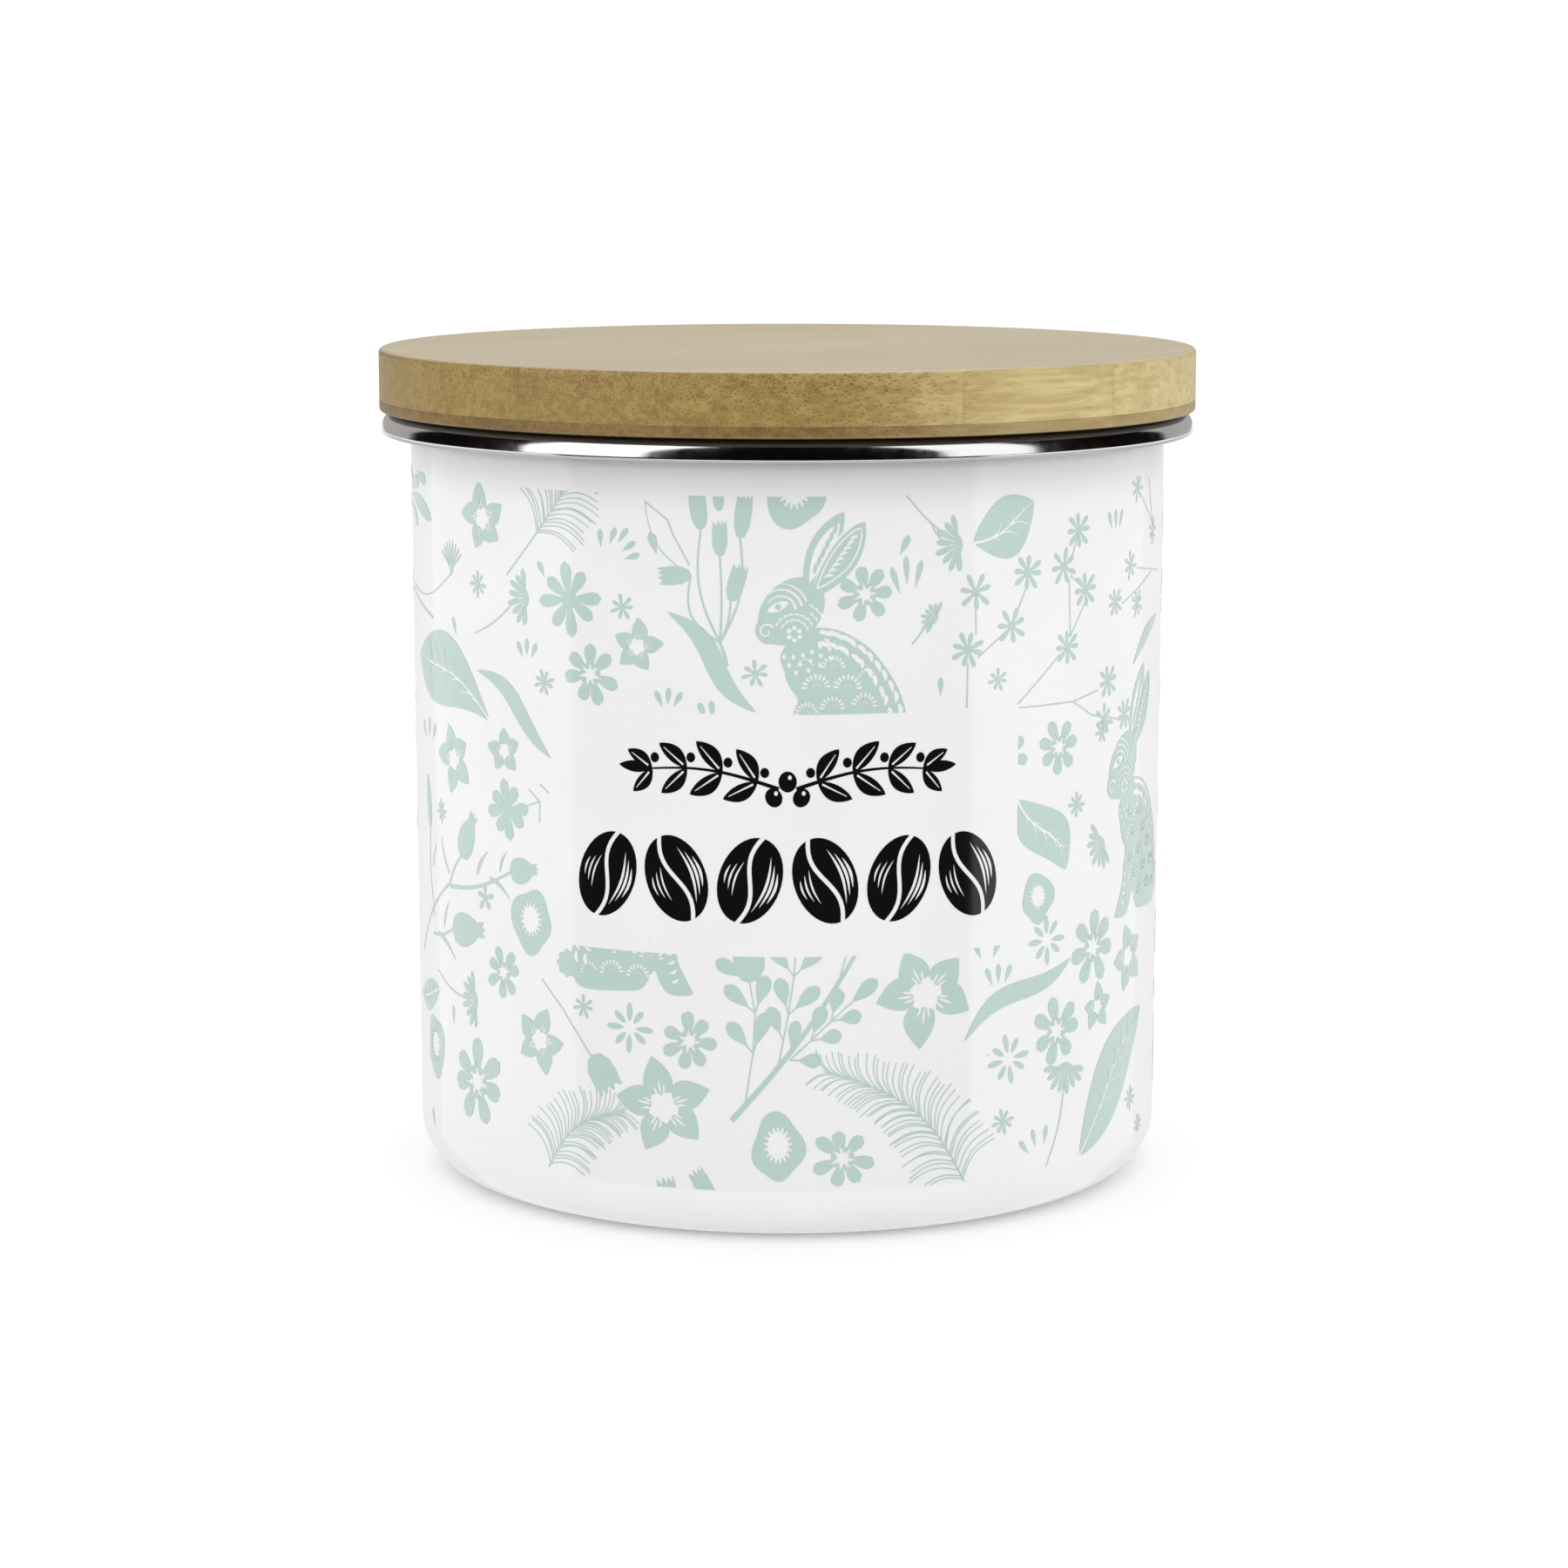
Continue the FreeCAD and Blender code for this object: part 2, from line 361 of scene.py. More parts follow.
def bamboo_material(name, first_joint, ply_bottom, long_light, long_dark, end_light, end_dark, speck):
    """Pressed bamboo strips: streaks along the grain, darker and specked where it is cut across, with
    painted light and shade: one side darker, the top paler and the underside nearly black.
    """
    shader = Shader(name, IOR=1.5, Coat_Weight=0.2, Coat_Roughness=0.35)
    times = shader.times
    plus = shader.plus
    minus = shader.minus
    along, across, height = shader.parts(shader.place(GRAIN_ANGLE))
    exposure_along, _, upward = shader.parts(shader.add("Mapping", {"vector_type": "NORMAL"}, {
        "Vector": shader.facing(), "Rotation": (0, 0, math.radians(-GRAIN_ANGLE))}))
    # darker and specked where the grain is cut across, but counted only on faces turned one way along the
    # grain; the other side keeps the light long-grain tones, so this is partly real end grain and partly
    # painted shade on one side of the lid and painted light on the other
    end_grain_and_side_shade = shader.range(exposure_along, 0.0, -0.55)
    # each strip takes its own stretch of grain
    position = shader.math("DIVIDE", minus(across, first_joint), STAVE_WIDTH)
    stave = shader.math("FLOOR", position)
    chance = shader.add("TexWhiteNoise", {"noise_dimensions": "1D"}, {"W": stave})
    along = plus(along, times(chance, 470.0))
    # fibre bundles show as specks, closer together toward the top of the ply
    fibres = shader.join(times(along, 0.03), plus(across, times(stave, 7.3)), height)
    cells = shader.add("TexVoronoi", {}, {"Vector": fibres, "Scale": 2.9, "Randomness": 0.95})
    density = shader.range(minus(height, ply_bottom), 0.0, 7.0, 0.31, 0.4)
    specks = shader.range(minus(cells, density), -0.16, 0.1, 1.0, 0.0)
    # the tone runs in dashes, long streaks and slow clouds
    dashes = shader.noise(shader.join(times(along, 0.07), times(across, 0.9), height), 1.1, 3.0, 0.6)
    streaks = shader.noise(shader.join(times(along, 0.006), across, height), 0.6, 5.0, 0.62)
    cloud = shader.noise(shader.join(
        times(along, 0.02), times(across, 0.08), times(height, 0.1)), 1.0, 3.0)
    tone = plus(times(streaks, 0.55), plus(times(cloud, 0.35), times(chance, 0.12)))
    share = shader.range(plus(times(tone, 0.6), times(dashes, 0.42)), 0.34, 0.66)
    ground = shader.mix(end_grain_and_side_shade, shader.mix(share, long_dark, long_light),
                        shader.mix(share, end_dark, end_light))
    strength = shader.range(end_grain_and_side_shade, 0.0, 1.0, 0.12, 0.6)
    spotted = shader.mix(times(specks, strength), ground, speck)
    # glue lines between the strips, and a knot now and then
    edge = shader.math("ABSOLUTE", minus(shader.math("FRACT", plus(position, 0.5)), 0.5))
    glue = shader.range(edge, 0.0, 0.006, 0.14, 0.0)
    ring = minus(shader.math("MODULO", plus(along, 900.0), 233.0), 60.0)
    knot = shader.range(shader.math("ABSOLUTE", ring), 0.4, 2.4, 0.09, 0.0)
    lined = shader.mix(shader.math("MAXIMUM", glue, knot), spotted, speck)
    # painted light and shade: faces that look up are painted paler and faces that look down nearly black
    painted_dark_underside = shader.range(upward, -0.9, -0.5, 0.93, 0.0)
    painted_pale_top = shader.mix(shader.range(upward, 0.5, 0.9, 0.0, 0.65), lined, (0.555, 0.48, 0.375))
    shader.look(Base_Color=shader.mix(painted_dark_underside, painted_pale_top, (0.02, 0.008, 0.003)),
                Roughness=shader.range(streaks, 0.3, 0.7, 0.42, 0.56))
    shader.bump(minus(streaks, times(specks, 0.5)), 0.2, 0.04)
    return shader.material


# ---------------------------------------------------------------- outlines

UP = 1j


def spin(degrees):
    """The factor that turns a point anticlockwise about the origin."""
    return cmath.rect(1, math.radians(degrees))


def direction(degrees):
    """A unit step that many degrees anticlockwise from straight up."""
    return UP * spin(degrees)


def oval(centre, across, along, turn=0.0, count=28):
    """An ellipse with the given half width and half height, turned anticlockwise."""
    return [centre + spin(turn) * complex(
        across * math.cos(math.tau * step / count), along * math.sin(math.tau * step / count))
        for step in range(count)]


def petal(root, tip, width, widest=0.55, fullness=0.75, bend=0.0, count=11):
    """A petal, drop or leaf: pointed with fullness 1 or more, round-ended with about 0.5."""
    axis = tip - root
    side = axis * UP
    power = math.log(0.5) / math.log(widest)
    left = []
    right = []
    for step in range(1, count):
        share = step / count
        middle = root + axis * share + side * bend * math.sin(math.pi * share)
        half = side / abs(side) * width / 2 * math.sin(math.pi * share ** power) ** fullness
        left.append(middle + half)
        right.append(middle - half)
    return [root] + right + [tip] + left[::-1]


def curve(start, end, bulge=0.0, count=12):
    """Points from start to end along a gentle arc that stands off by bulge times its length."""
    axis = end - start
    return [start + axis * step / count + axis * UP * bulge * math.sin(math.pi * step / count)
            for step in range(count + 1)]


def ribbon(path, start_width, end_width):
    """The quads of a tapering line along a path."""
    edges = []
    last = len(path) - 1
    for index, point in enumerate(path):
        ahead = path[min(index + 1, last)] - path[max(index - 1, 0)]
        width = start_width + (end_width - start_width) * index / last
        offset = ahead / abs(ahead) * UP * width / 2
        edges.append((point + offset, point - offset))
    return [[a, b, d, c] for (a, b), (c, d) in zip(edges, edges[1:])]


def wavy(centre, radius, waves, count=60):
    """A closed outline whose radius is the sum of (lobes, depth, phase) waves."""
    outline = []
    for step in range(count):
        angle = math.tau * step / count
        reach = radius * (1 + sum(
            depth * math.cos(lobes * angle + phase) for lobes, depth, phase in waves))
        outline.append(centre + cmath.rect(reach, angle))
    return outline


def smooth(corners, steps=6):
    """A closed outline that runs smoothly through its corners."""
    outline = []
    count = len(corners)
    for index in range(count):
        before, here, ahead, beyond = (corners[(index + step) % count] for step in (-1, 0, 1, 2))
        for step in range(steps):
            t = step / steps
            outline.append(0.5 * (
                2 * here + (ahead - before) * t
                + (2 * before - 5 * here + 4 * ahead - beyond) * t ** 2
                + (3 * here - before - 3 * ahead + beyond) * t ** 3))
    return outline


class Art:
    """Flat artwork: ink, shapes cut out of it, ink over the cuts, and lines scored through all."""

    def __init__(self, *inked):
        self.layers = {"ink": list(inked), "cut": [], "over": [], "score": []}

    def ink(self, *outlines):
        self.layers["ink"].extend(outlines)

    def cut(self, *outlines):
        self.layers["cut"].extend(outlines)

    def over(self, *outlines):
        self.layers["over"].extend(outlines)

    def score(self, *outlines):
        self.layers["score"].extend(outlines)

    def stem(self, start, end, bulge, start_width, end_width, count=12):
        """Inks a bowed line from start to end."""
        self.ink(*ribbon(curve(start, end, bulge, count), start_width, end_width))

    def moved(self, place, turn=0.0, scale=1.0, flip=False):
        """A copy scaled, flipped left to right, turned and then moved."""
        copy = Art()
        factor = spin(turn) * scale
        for layer, outlines in self.layers.items():
            for outline in outlines:
                shape = [complex(-p.real, p.imag) for p in outline] if flip else outline
                copy.layers[layer].append([place + p * factor for p in shape])
        return copy

    def add(self, other):
        for layer, outlines in other.layers.items():
            self.layers[layer].extend(outlines)


# ---------------------------------------------------------------- motifs
# Sizes are in millimetres. Flowers are drawn with a reach of 1 and scaled at the end.

def daisy(size, chance):
    """Seven blunt notched petals round a pale centre with fine spikes."""
    draw = random.Random(chance)
    art = Art(oval(0, 0.38, 0.38))
    for index in range(7):
        out = direction(360 * index / 7 + draw.uniform(-7, 7))
        length = draw.uniform(0.9, 1.08)
        art.ink(petal(0.1 * out, length * out, 0.43, 0.7, 0.5))
        for spread, share in ((-9, 0.42), (0, 0.62), (8, 0.48)):
            art.cut(petal(0.1 * out, share * spin(spread) * out, 0.045, 0.3, 1.0, count=5))
        notch = length * spin(draw.uniform(-7, 7)) * out
        art.cut([1.2 * notch * spin(5), 0.88 * notch, 1.2 * notch * spin(-4)])
    art.cut([cmath.rect(0.25 if step % 2 else 0.18, math.pi * step / 13) for step in range(26)])
    return art.moved(0, scale=size / 2)


def bellflower(size, chance):
    """Five broad pointed petals round a ragged pale centre."""
    draw = random.Random(chance)
    art = Art()
    for index in range(5):
        out = direction(72 * index + draw.uniform(-6, 6))
        length = draw.uniform(1.0, 1.2)
        art.ink(petal(0.06 * out, length * out, 0.69, 0.46, 0.95, draw.uniform(-0.1, 0.1), 14))
        for spread, share in ((-14, 0.56), (0, 0.68), (13, 0.54)):
            spike = spin(spread + draw.uniform(-2, 2)) * out
            art.cut(petal(0.26 * spike, share * spike, 0.06, 0.45, 0.8, count=5))
    art.cut(wavy(0, 0.33, [(5, 0.14, math.pi / 2), (13, 0.06, 1.0)]))
    return art.moved(0, scale=size / 2)


def floret(size, petals=7, width=0.27, hollow=0.0):
    """A small star of round-ended petals; hollow opens its middle."""
    art = Art()
    widest = 0.58 if hollow else 0.72
    for index in range(petals):
        out = direction(360 * index / petals + 5 * math.sin(3 * index))
        length = 1 - 0.12 * (index % 2)
        art.ink(petal(hollow * out, length * out, width, widest, 0.5, count=9))
    if not hollow:
        art.ink(oval(0, 0.24, 0.24, count=14))
    return art.moved(0, scale=size / 2)


def poppy(size, chance, stretch=1.2):
    """A lobed blot with a serrated pale eye."""
    draw = random.Random(chance)
    lobes = [(4, 0.06, draw.uniform(0, 6)), (3, 0.06, draw.uniform(0, 6)), (5, 0.03, 1.0)]
    art = Art([complex(p.real / stretch, p.imag) for p in wavy(0, 1, lobes)])
    eye = 0.06 * UP
    art.cut(oval(eye, 0.42 / stretch, 0.42, count=40))
    for index in range(17):
        out = direction(360 * index / 17)
        spoke = complex(out.real / stretch, out.imag)
        art.cut(petal(eye + 0.34 * spoke, eye + 0.58 * spoke, 0.085, 0.6, 0.4, count=5))
    return art.moved(0, scale=size / 2)


def half_daisy(size, stem=None):
    """A flower seen from the side; stem is the point where its thin stalk ends."""
    art = Art()
    for index in range(8):
        share = index / 7 - 0.5
        root = 0.22 * share
        length = 0.62 - 0.08 * abs(share) + 0.06 * (index % 2)
        art.ink(petal(root, root + length * direction(-165 * share), 0.15, 0.7, 0.55, count=8))
    art.ink(petal(-0.24, 0.24, 0.2, 0.5, 0.7))
    art = art.moved(0, scale=size)
    if stem is not None:
        art.stem(0.3 * size * UP, stem, 0.06, 0.26, 0.2)
    return art


def thistle(size, stem):
    """A tuft of thin petals in a narrow cup, on a bowed stalk."""
    art = Art()
    for index in range(8):
        share = index / 7 - 0.5
        tip = (1 - 0.2 * abs(share)) * direction(-92 * share)
        art.ink(petal(0.1 * UP, tip, 0.08, 0.72, 0.6, count=7))
    art.ink(petal(-0.04 * UP, 0.46 * UP, 0.24, 0.45, 0.8))
    art = art.moved(0, scale=size)
    art.stem(0, stem, 0.12, 0.2, 0.16)
    return art


def tulip_head(foot, tip, width):
    """The outline of a slim closed bud with a jagged mouth, standing between two points."""
    outline = (0, 0.28+0.06j, 0.48+0.3j, 0.5+0.62j, 0.42+1j, 0.3+0.84j, 0.17+0.98j,
               0.06+0.82j, -0.1+0.99j, -0.22+0.83j, -0.44+0.96j, -0.5+0.6j,
               -0.46+0.28j, -0.24+0.05j)
    reach = tip - foot
    side = reach / abs(reach) / UP * width
    return [foot + side * point.real + reach * point.imag for point in outline]


def tulip(length, width):
    """One upright bud."""
    return Art(tulip_head(0, length * UP, width))


def tulip_spray():
    """Five buds on fine stems that meet above a long blade."""
    art = Art()
    buds = ((-2.6+15.4j, -3.3+21j, 2.4, 0.1), (11.8j, 16.8j, 2.1, -0.02),
            (2.8+14.3j, 3.6+20.6j, 2.3, -0.1), (1.5+5.7j, 3+10.8j, 2.3, -0.06),
            (-4+9.2j, -8.8+8.9j, 2.6, 0.22), (-0.1+18j, -0.2+21.5j, 1.5, 0.0))
    for foot, tip, width, bulge in buds:
        art.ink(tulip_head(foot, tip, width))
        if bulge:
            art.stem(0, foot, bulge, 0.3, 0.22)
    art.stem(-4.6+9.4j, -10.6+19.2j, 0.14, 0.14, 0.1)
    art.stem(0, 0.9-3.2j, 0.04, 0.34, 0.5, 4)
    return art


def leaf(length, width, bend, veins, ripple, widest=0.5):
    """A broad leaf with its midrib and side veins left pale."""

    def spine(share):
        bow = ripple * math.sin(math.tau * share) - length * bend * math.sin(math.pi * share)
        return length * share * UP + bow

    outline = petal(0, length * UP, width, widest, 0.8, bend, 26)
    art = Art([p + ripple * math.sin(math.tau * p.imag / length) for p in outline])
    art.cut(*ribbon([spine(step / 16) for step in range(17)], 0.42, 0.16))
    for index in range(veins * 2):
        share = 0.14 + 0.31 * index / veins
        side = 1 if index % 2 else -1
        root = spine(share)
        reach = 0.396 * width * math.sin(math.pi * (share * 0.8 + 0.15))
        end = root + reach * direction(side * 40) + 0.06 * length * UP
        art.cut(*ribbon(curve(root, end, side * -0.16, 6), 0.32, 0.12))
    return art


def blade(length, width, bend, sway=0.0):
    """A long grass-like leaf, bowed by bend and curled back by sway, as shares of its length."""
    outline = petal(0, length * UP, width, 0.5, 0.8, bend, 30)
    return Art([p - sway * length * math.sin(math.tau * p.imag / length) for p in outline])


def fern(length, width, pairs, bend, bare, chance):
    """A feather of fine swept barbs on a thin midrib, bare at its foot."""
    draw = random.Random(chance)
    steps = 60
    path = curve(0, length * UP, bend, steps)
    art = Art(*ribbon(path, 0.24, 0.14))
    for index in range(pairs):
        share = bare + (0.98 - bare) * index / pairs
        spot = round(share * steps)
        root = path[spot]
        ahead = path[min(spot + 1, steps)] - path[max(spot - 1, 0)]
        ahead /= abs(ahead)
        along = (share - bare) / (1 - bare)
        reach = width / 2 * (1 - 0.62 * max(0.0, along - 0.25))
        for side in (-1, 1):
            lean = spin(side * (72 - 38 * along + draw.uniform(-4, 4)))
            end = root + reach * draw.uniform(0.9, 1.06) * ahead * lean
            art.ink(*ribbon(curve(root, end, side * -0.15, 6), 0.15, 0.13))
    return art


def drop(length, width):
    """One drop-shaped leaf."""
    return Art(petal(0, length * UP, width, 0.68, 0.6, 0.05, 12))


def drop_leaf(art, root, turn, stalk, length, width):
    """A round-ended leaf on a short stalk."""
    start = root + stalk * direction(turn)
    art.ink(*ribbon([root, start], 0.16, 0.2))
    art.ink(petal(start, start + length * direction(turn), width, 0.66, 0.6))


def sprig():
    """Branching stems set with drop-shaped leaves, 25 mm tall and leaning right."""
    art = Art()
    art.stem(0, 18.2+25.1j, -0.03, 0.8, 0.5, 16)
    art.ink(*ribbon([15.1+20.6j, 16.5+25.1j], 0.16, 0.16))
    # each stem's points, then its leaves as (number of the point, turn, length)
    stems = (
        ((1.9+2.4j, 3+9.6j, 3.3+15.3j, 2.5+19.9j),
         ((1, 39, 4.4), (1, -18, 5.0), (2, 48, 4.5), (2, -17, 4.4), (3, 60, 4.2))),
        ((6.5+7.9j, 7.2+11.4j, 7.9+15.1j, 8.7+20.5j, 9+25.4j),
         ((1, 22, 4.0), (2, -48, 4.6), (2, 14, 4.2), (3, 36, 4.3), (3, -43, 4.5))),
        ((8.1+8.7j, 11+11.4j, 13.8+14.1j, 15.8+15.9j),
         ((0, -92, 3.2), (1, -80, 3.2), (2, -80, 3.2), (3, -49, 4.8), (1, -20, 4.0), (2, -14, 3.6))))
    for places, leaves in stems:
        art.ink(*ribbon(places, 0.2, 0.16))
        for node, turn, length in leaves:
            drop_leaf(art, places[node], turn, 1.2, length, 2.1)
    drop_leaf(art, 8.1+9.6j, -12, 1.0, 3.8, 1.8)
    art.ink(tulip_head(2.5+19.6j, 2.4+25.8j, 4.4))
    return art


def bud_branch():
    """A thorny branch with round buds, 20 mm tall."""
    art = Art()
    for row in ((0, 13.8+12.2j, 0.06, 0.34, 0.42), (13.8+12.2j, 17.6+16.8j, 0.05, 0.42, 0.34),
                (13.8+11.8j, 30+16.1j, -0.06, 0.62, 0.4), (6.6+3.6j, 14.6+5.6j, -0.06, 0.4, 0.4),
                (7.4+6.3j, 5.9+19.3j, 0.08, 0.24, 0.2)):
        art.stem(*row)
    art.ink(petal(5.9+19j, 4.8+26.8j, 2.2, 0.45, 0.6))
    # round fruits with the stubs of their sepals
    for foot, tip, width in ((17.6+16.5j, 21.5+23.4j, 4.3), (29.8+16.1j, 35.4+17.2j, 3.8),
                             (14.4+5.5j, 23.8+6.9j, 5.0)):
        reach = tip - foot
        art.ink(petal(foot, foot + 0.86 * reach, width, 0.42, 0.55))
        for lean in (-24, 0, 22):
            art.ink(petal(foot + 0.66 * reach, foot + (0.72 + 0.3 * spin(lean)) * reach, 0.24 * width,
                          0.3, 0.8, count=5))
    # thorns
    for foot, tip, width in ((13.8+13.4j, 10.9+18.6j, 0.5), (22+14.6j, 25+18.5j, 0.7),
                             (27.6+15.8j, 29.2+19j, 0.5), (25+14.8j, 29.8+12.1j, 0.6),
                             (11.4+5.2j, 13.4+9.4j, 0.6), (8.4+4.2j, 15.5+1.1j, 0.7),
                             (7+13.6j, 8.6+17j, 0.4)):
        art.ink(petal(foot, tip, width, 0.35, 0.9, 0.08, 8))
    return art


def scallop(art, place, size, turn):
    """A folk-art shell cut out of the ink: a fan of petals over a small half moon."""
    for index in range(9):
        out = size * direction(turn + 84 - 21 * index)
        art.cut(petal(place + 0.48 * out, place + out, 0.2 * size, 0.66, 0.6, count=6))
    for index in range(5):
        out = size * direction(turn + 60 - 30 * index)
        art.cut(petal(place + 0.14 * out, place + 0.36 * out, 0.09 * size, 0.5, 0.7, count=5))


def rabbit(height):
    """A sitting rabbit, facing left, filled with folk-art cut-outs; drawn 35 tall and scaled."""
    art = Art()
    head = 0.5+21.5j
    brow = -0.9+21.6j
    eye = -1.3+22.1j
    back = (4.2+19.2j, 6.2+19j, 8.4+18.2j, 11.2+16.3j, 13.4+13.7j, 15.3+10.6j,
            16.5+7j, 17+3.2j)
    front = (15.6, 9, 5.8+0.6j, 4+3.2j, 3+1.4j, 1.6, -1.5+0.1j, -1.2+1.3j, 0.4+4.5j,
             0.8+7.4j, 1.4+9.4j, 0.3+11.1j, -0.6+13.6j, -0.8+15.9j, 2+19j)
    art.ink(smooth(back + front), oval(head, 3.9, 5.2, -42, 40), oval(-2.5+18.9j, 1.9, 1.9),
            wavy(17.6+3j, 1.9, [(9, 0.1, 0.0)], 54),
            petal(2.2+24j, 7.6+35j, 3.5, 0.55, 0.7, 0.04, 16))
    # the far ear, then the near ear with a pale line round it
    art.cut(petal(2.9+25.3j, 7.1+33.6j, 2.2, 0.55, 0.7, 0.04, 14))
    for step in range(6):
        root = 2.9+25.3j + (0.16 + 0.13 * step) * (4.2+8.3j)
        art.over(petal(root, root + 1.5 * direction(-12), 0.5, 0.5, 0.7, count=6))
    art.cut(petal(3.2+23.4j, 10.9+34.2j, 4.6, 0.55, 0.7, -0.03, 16))
    art.over(petal(3.2+23.2j, 10.5+33.6j, 4.0, 0.55, 0.7, -0.03, 16))
    inset = petal(4+24.6j, 10+32.8j, 2.9, 0.55, 0.7, -0.03, 16)
    art.score(*ribbon(inset + inset[:1], 0.3, 0.3))
    for step in range(8):
        root = 4.4+25.3j + (0.08 + 0.1 * step) * (5.2+7j)
        art.score(petal(root, root + 1.6 * direction(3 * step - 72), 0.5, 0.6, 0.7, 0.2, 6))
    # eye and nose
    art.cut(petal(-2.9+21.4j, 0.2+22.8j, 1.3, 0.5, 0.8))
    art.over(oval(eye, 0.42, 0.38, count=12))
    spiral = [-2.9+18.7j + (1.15 - 0.09 * step) * direction(38 * step - 60) for step in range(11)]
    art.cut(*ribbon(spiral, 0.36, 0.22))
    # long strokes over the brow: reach, first and last turn, points left out, widths
    for reach, first, last, skipped, start_width, end_width in (
            (2.0, 62, -86, 0, 0.2, 0.42), (2.9, 58, -78, 0, 0.2, 0.42), (3.7, 46, -70, 2, 0.16, 0.34)):
        sweep = [brow + reach * direction(first + (last - first) * step / 14) for step in range(15)]
        art.cut(*ribbon(sweep[skipped:], start_width, end_width))
    # cheek: rows of crescents round a small flower
    cheek = 0.9+18.4j
    art.cut(*[oval(cheek + 0.82 * direction(60 * index), 0.36, 0.36, count=12) for index in range(6)])
    for row, reach in enumerate((1.8, 2.6, 3.5, 4.4)):
        count = 8 + 3 * row
        for index in range(count):
            angle = 70 - 170 * index / (count - 1)
            root = cheek + reach * direction(angle)
            offset = (root - head) / spin(-42)
            within = math.hypot(offset.real / 3.9, offset.imag / 5.2) < 0.86
            if within and abs(root - eye) > 1.7 and (abs(root - brow) > 3.3 or row < 2):
                art.cut(petal(root, root + 0.95 * direction(angle - 104), 0.36, 0.4, 0.7, 0.24, 7))
    # collar
    for row, reach in enumerate((6.3, 7.4, 8.5)):
        for index in range(9 - row):
            out = direction(-120 - 11 * index - 5 * row)
            root = 0.2+22j + reach * out
            if root.real < 6.0:
                art.cut(petal(root, root + 0.9 * out, 0.56, 0.62, 0.6, count=6))
    # long leaves under the line of the back
    for here, ahead in zip(back, back[1:]):
        along = (ahead - here) / abs(ahead - here)
        inward = along / UP
        for share in (0.0, 0.5):
            for depth, length, lean in ((0.55, 1.9, 0.26), (2.0, 1.7, 0.34)):
                root = here + share * (ahead - here) + depth * inward
                art.cut(petal(root, root + length * (along + lean * inward), 0.72, 0.4, 0.75, 0.12, 9))
    # shells on the flank
    for place, size in (
            (3.9+10.9j, 2.1), (8.2+10.8j, 2.1), (6.2+13.7j, 1.8), (2.4+14j, 1.2),
            (10.9+12.2j, 1.4), (2.6+7.4j, 1.7), (6.1+8j, 1.9), (10.5+8.4j, 1.9),
            (4.4+4.9j, 1.9), (8.4+5.3j, 2.0), (12.6+5.4j, 1.9), (6.4+2.2j, 1.9),
            (10.5+2.4j, 2.0), (14.2+2.2j, 1.6)):
        scallop(art, place, size, 10 - 1.6 * place.real)
    # leg strokes
    for step in range(4):
        art.cut(petal(2.2+5.6j - (0.2+1.3j) * step, 1.1+6.3j - (0.25+1.3j) * step,
                      0.5, 0.5, 0.7, 0.2, 6))
    return art.moved(0, scale=height / 35)


def bean():
    """A coffee bean of height 1 with its curved crease and woodcut shading down both sides."""
    art = Art(oval(0, 0.35, 0.5, count=40))
    crease = [complex(0.08 * math.sin(math.tau * step / 16), 0.56 * (step / 8 - 1))
              for step in range(17)]
    art.cut(*ribbon(crease, 0.05, 0.05))
    for step in range(3):
        x = 0.13 + 0.065 * step
        y = 0.34 - 0.075 * step
        art.cut(petal(complex(x, -y), complex(x, y), 0.034, 0.5, 0.8, -0.09, 14),
                petal(complex(-x, -0.7 * y), complex(-x, 0.55 * y), 0.024, 0.5, 0.8, 0.08, 14))
    return art


def bean_emblem():
    """A leafy coffee sprig over a row of beans, which fills the pale label window."""
    art = Art()
    for index in range(6):
        lean = 20 if index % 2 else -20
        art.add(bean().moved(10.4 * (index - 2.5) - 6.2j, lean, 12.4))
    path = curve(1.2+6.6j, 21+8.8j, 0.07, 20)
    branch = Art(*ribbon(path, 0.55, 0.2))
    for index, (length, width) in enumerate(((5.4, 2.3), (5.6, 2.4), (5.2, 2.2), (4.4, 1.9))):
        root = path[3 + 5 * index]
        turn = math.degrees(cmath.phase((path[4 + 5 * index] - root) / UP))
        for lean, bend in ((-44, -0.06), (40, 0.06)):
            out = direction(turn + lean)
            branch.ink(petal(root, root + length * out, width, 0.5, 0.8, bend, 14))
            branch.cut(*ribbon([root + 0.7 * out, root + 0.84 * length * out], 0.3, 0.12))
        branch.ink(oval(root + 1.6 * direction(turn + 110), 0.62, 0.7, count=16))
    branch.ink(petal(path[18], path[20] + 3.0 * direction(-80), 1.6, 0.5, 0.8))
    art.add(branch.moved(0, flip=True))
    art.add(branch)
    art.ink(oval(7.6j, 1.25, 1.45, count=24), oval(-1.9+5.4j, 1.15, 1.35, 24),
            oval(1.9+5.4j, 1.15, 1.35, -24))
    for place in (0.3+8.2j, -1.6+6j, 2.2+6j):
        art.cut(oval(place, 0.28, 0.34, count=10))
    return art


# ---------------------------------------------------------------- print wrapped on the wall

FLAT_RADIUS = (WALL_BASE_RADIUS + WALL_TOP_RADIUS) / 2
DEGREE = math.radians(1) * FLAT_RADIUS
SLOPE = (WALL_TOP_RADIUS - WALL_BASE_RADIUS) / NECK
PRINT_BOTTOM = BASE_CORNER
PRINT_TOP = 104.6
WINDOW_HALF = 35.5 * DEGREE
WINDOW_LOW = 41.0
WINDOW_HIGH = 74.8
PRINT_PROUD = 0.04
PRINT_ROOT = -0.02
FOLD = 2.0
NEAR = 1e-5


def in_window(point):
    return abs(point.x) < WINDOW_HALF and WINDOW_LOW < point.y < WINDOW_HIGH


def in_print(point):
    """Whether the patterned print covers this place: it stops at the window and the band's edges."""
    return PRINT_BOTTOM < point.y < PRINT_TOP and not in_window(point)


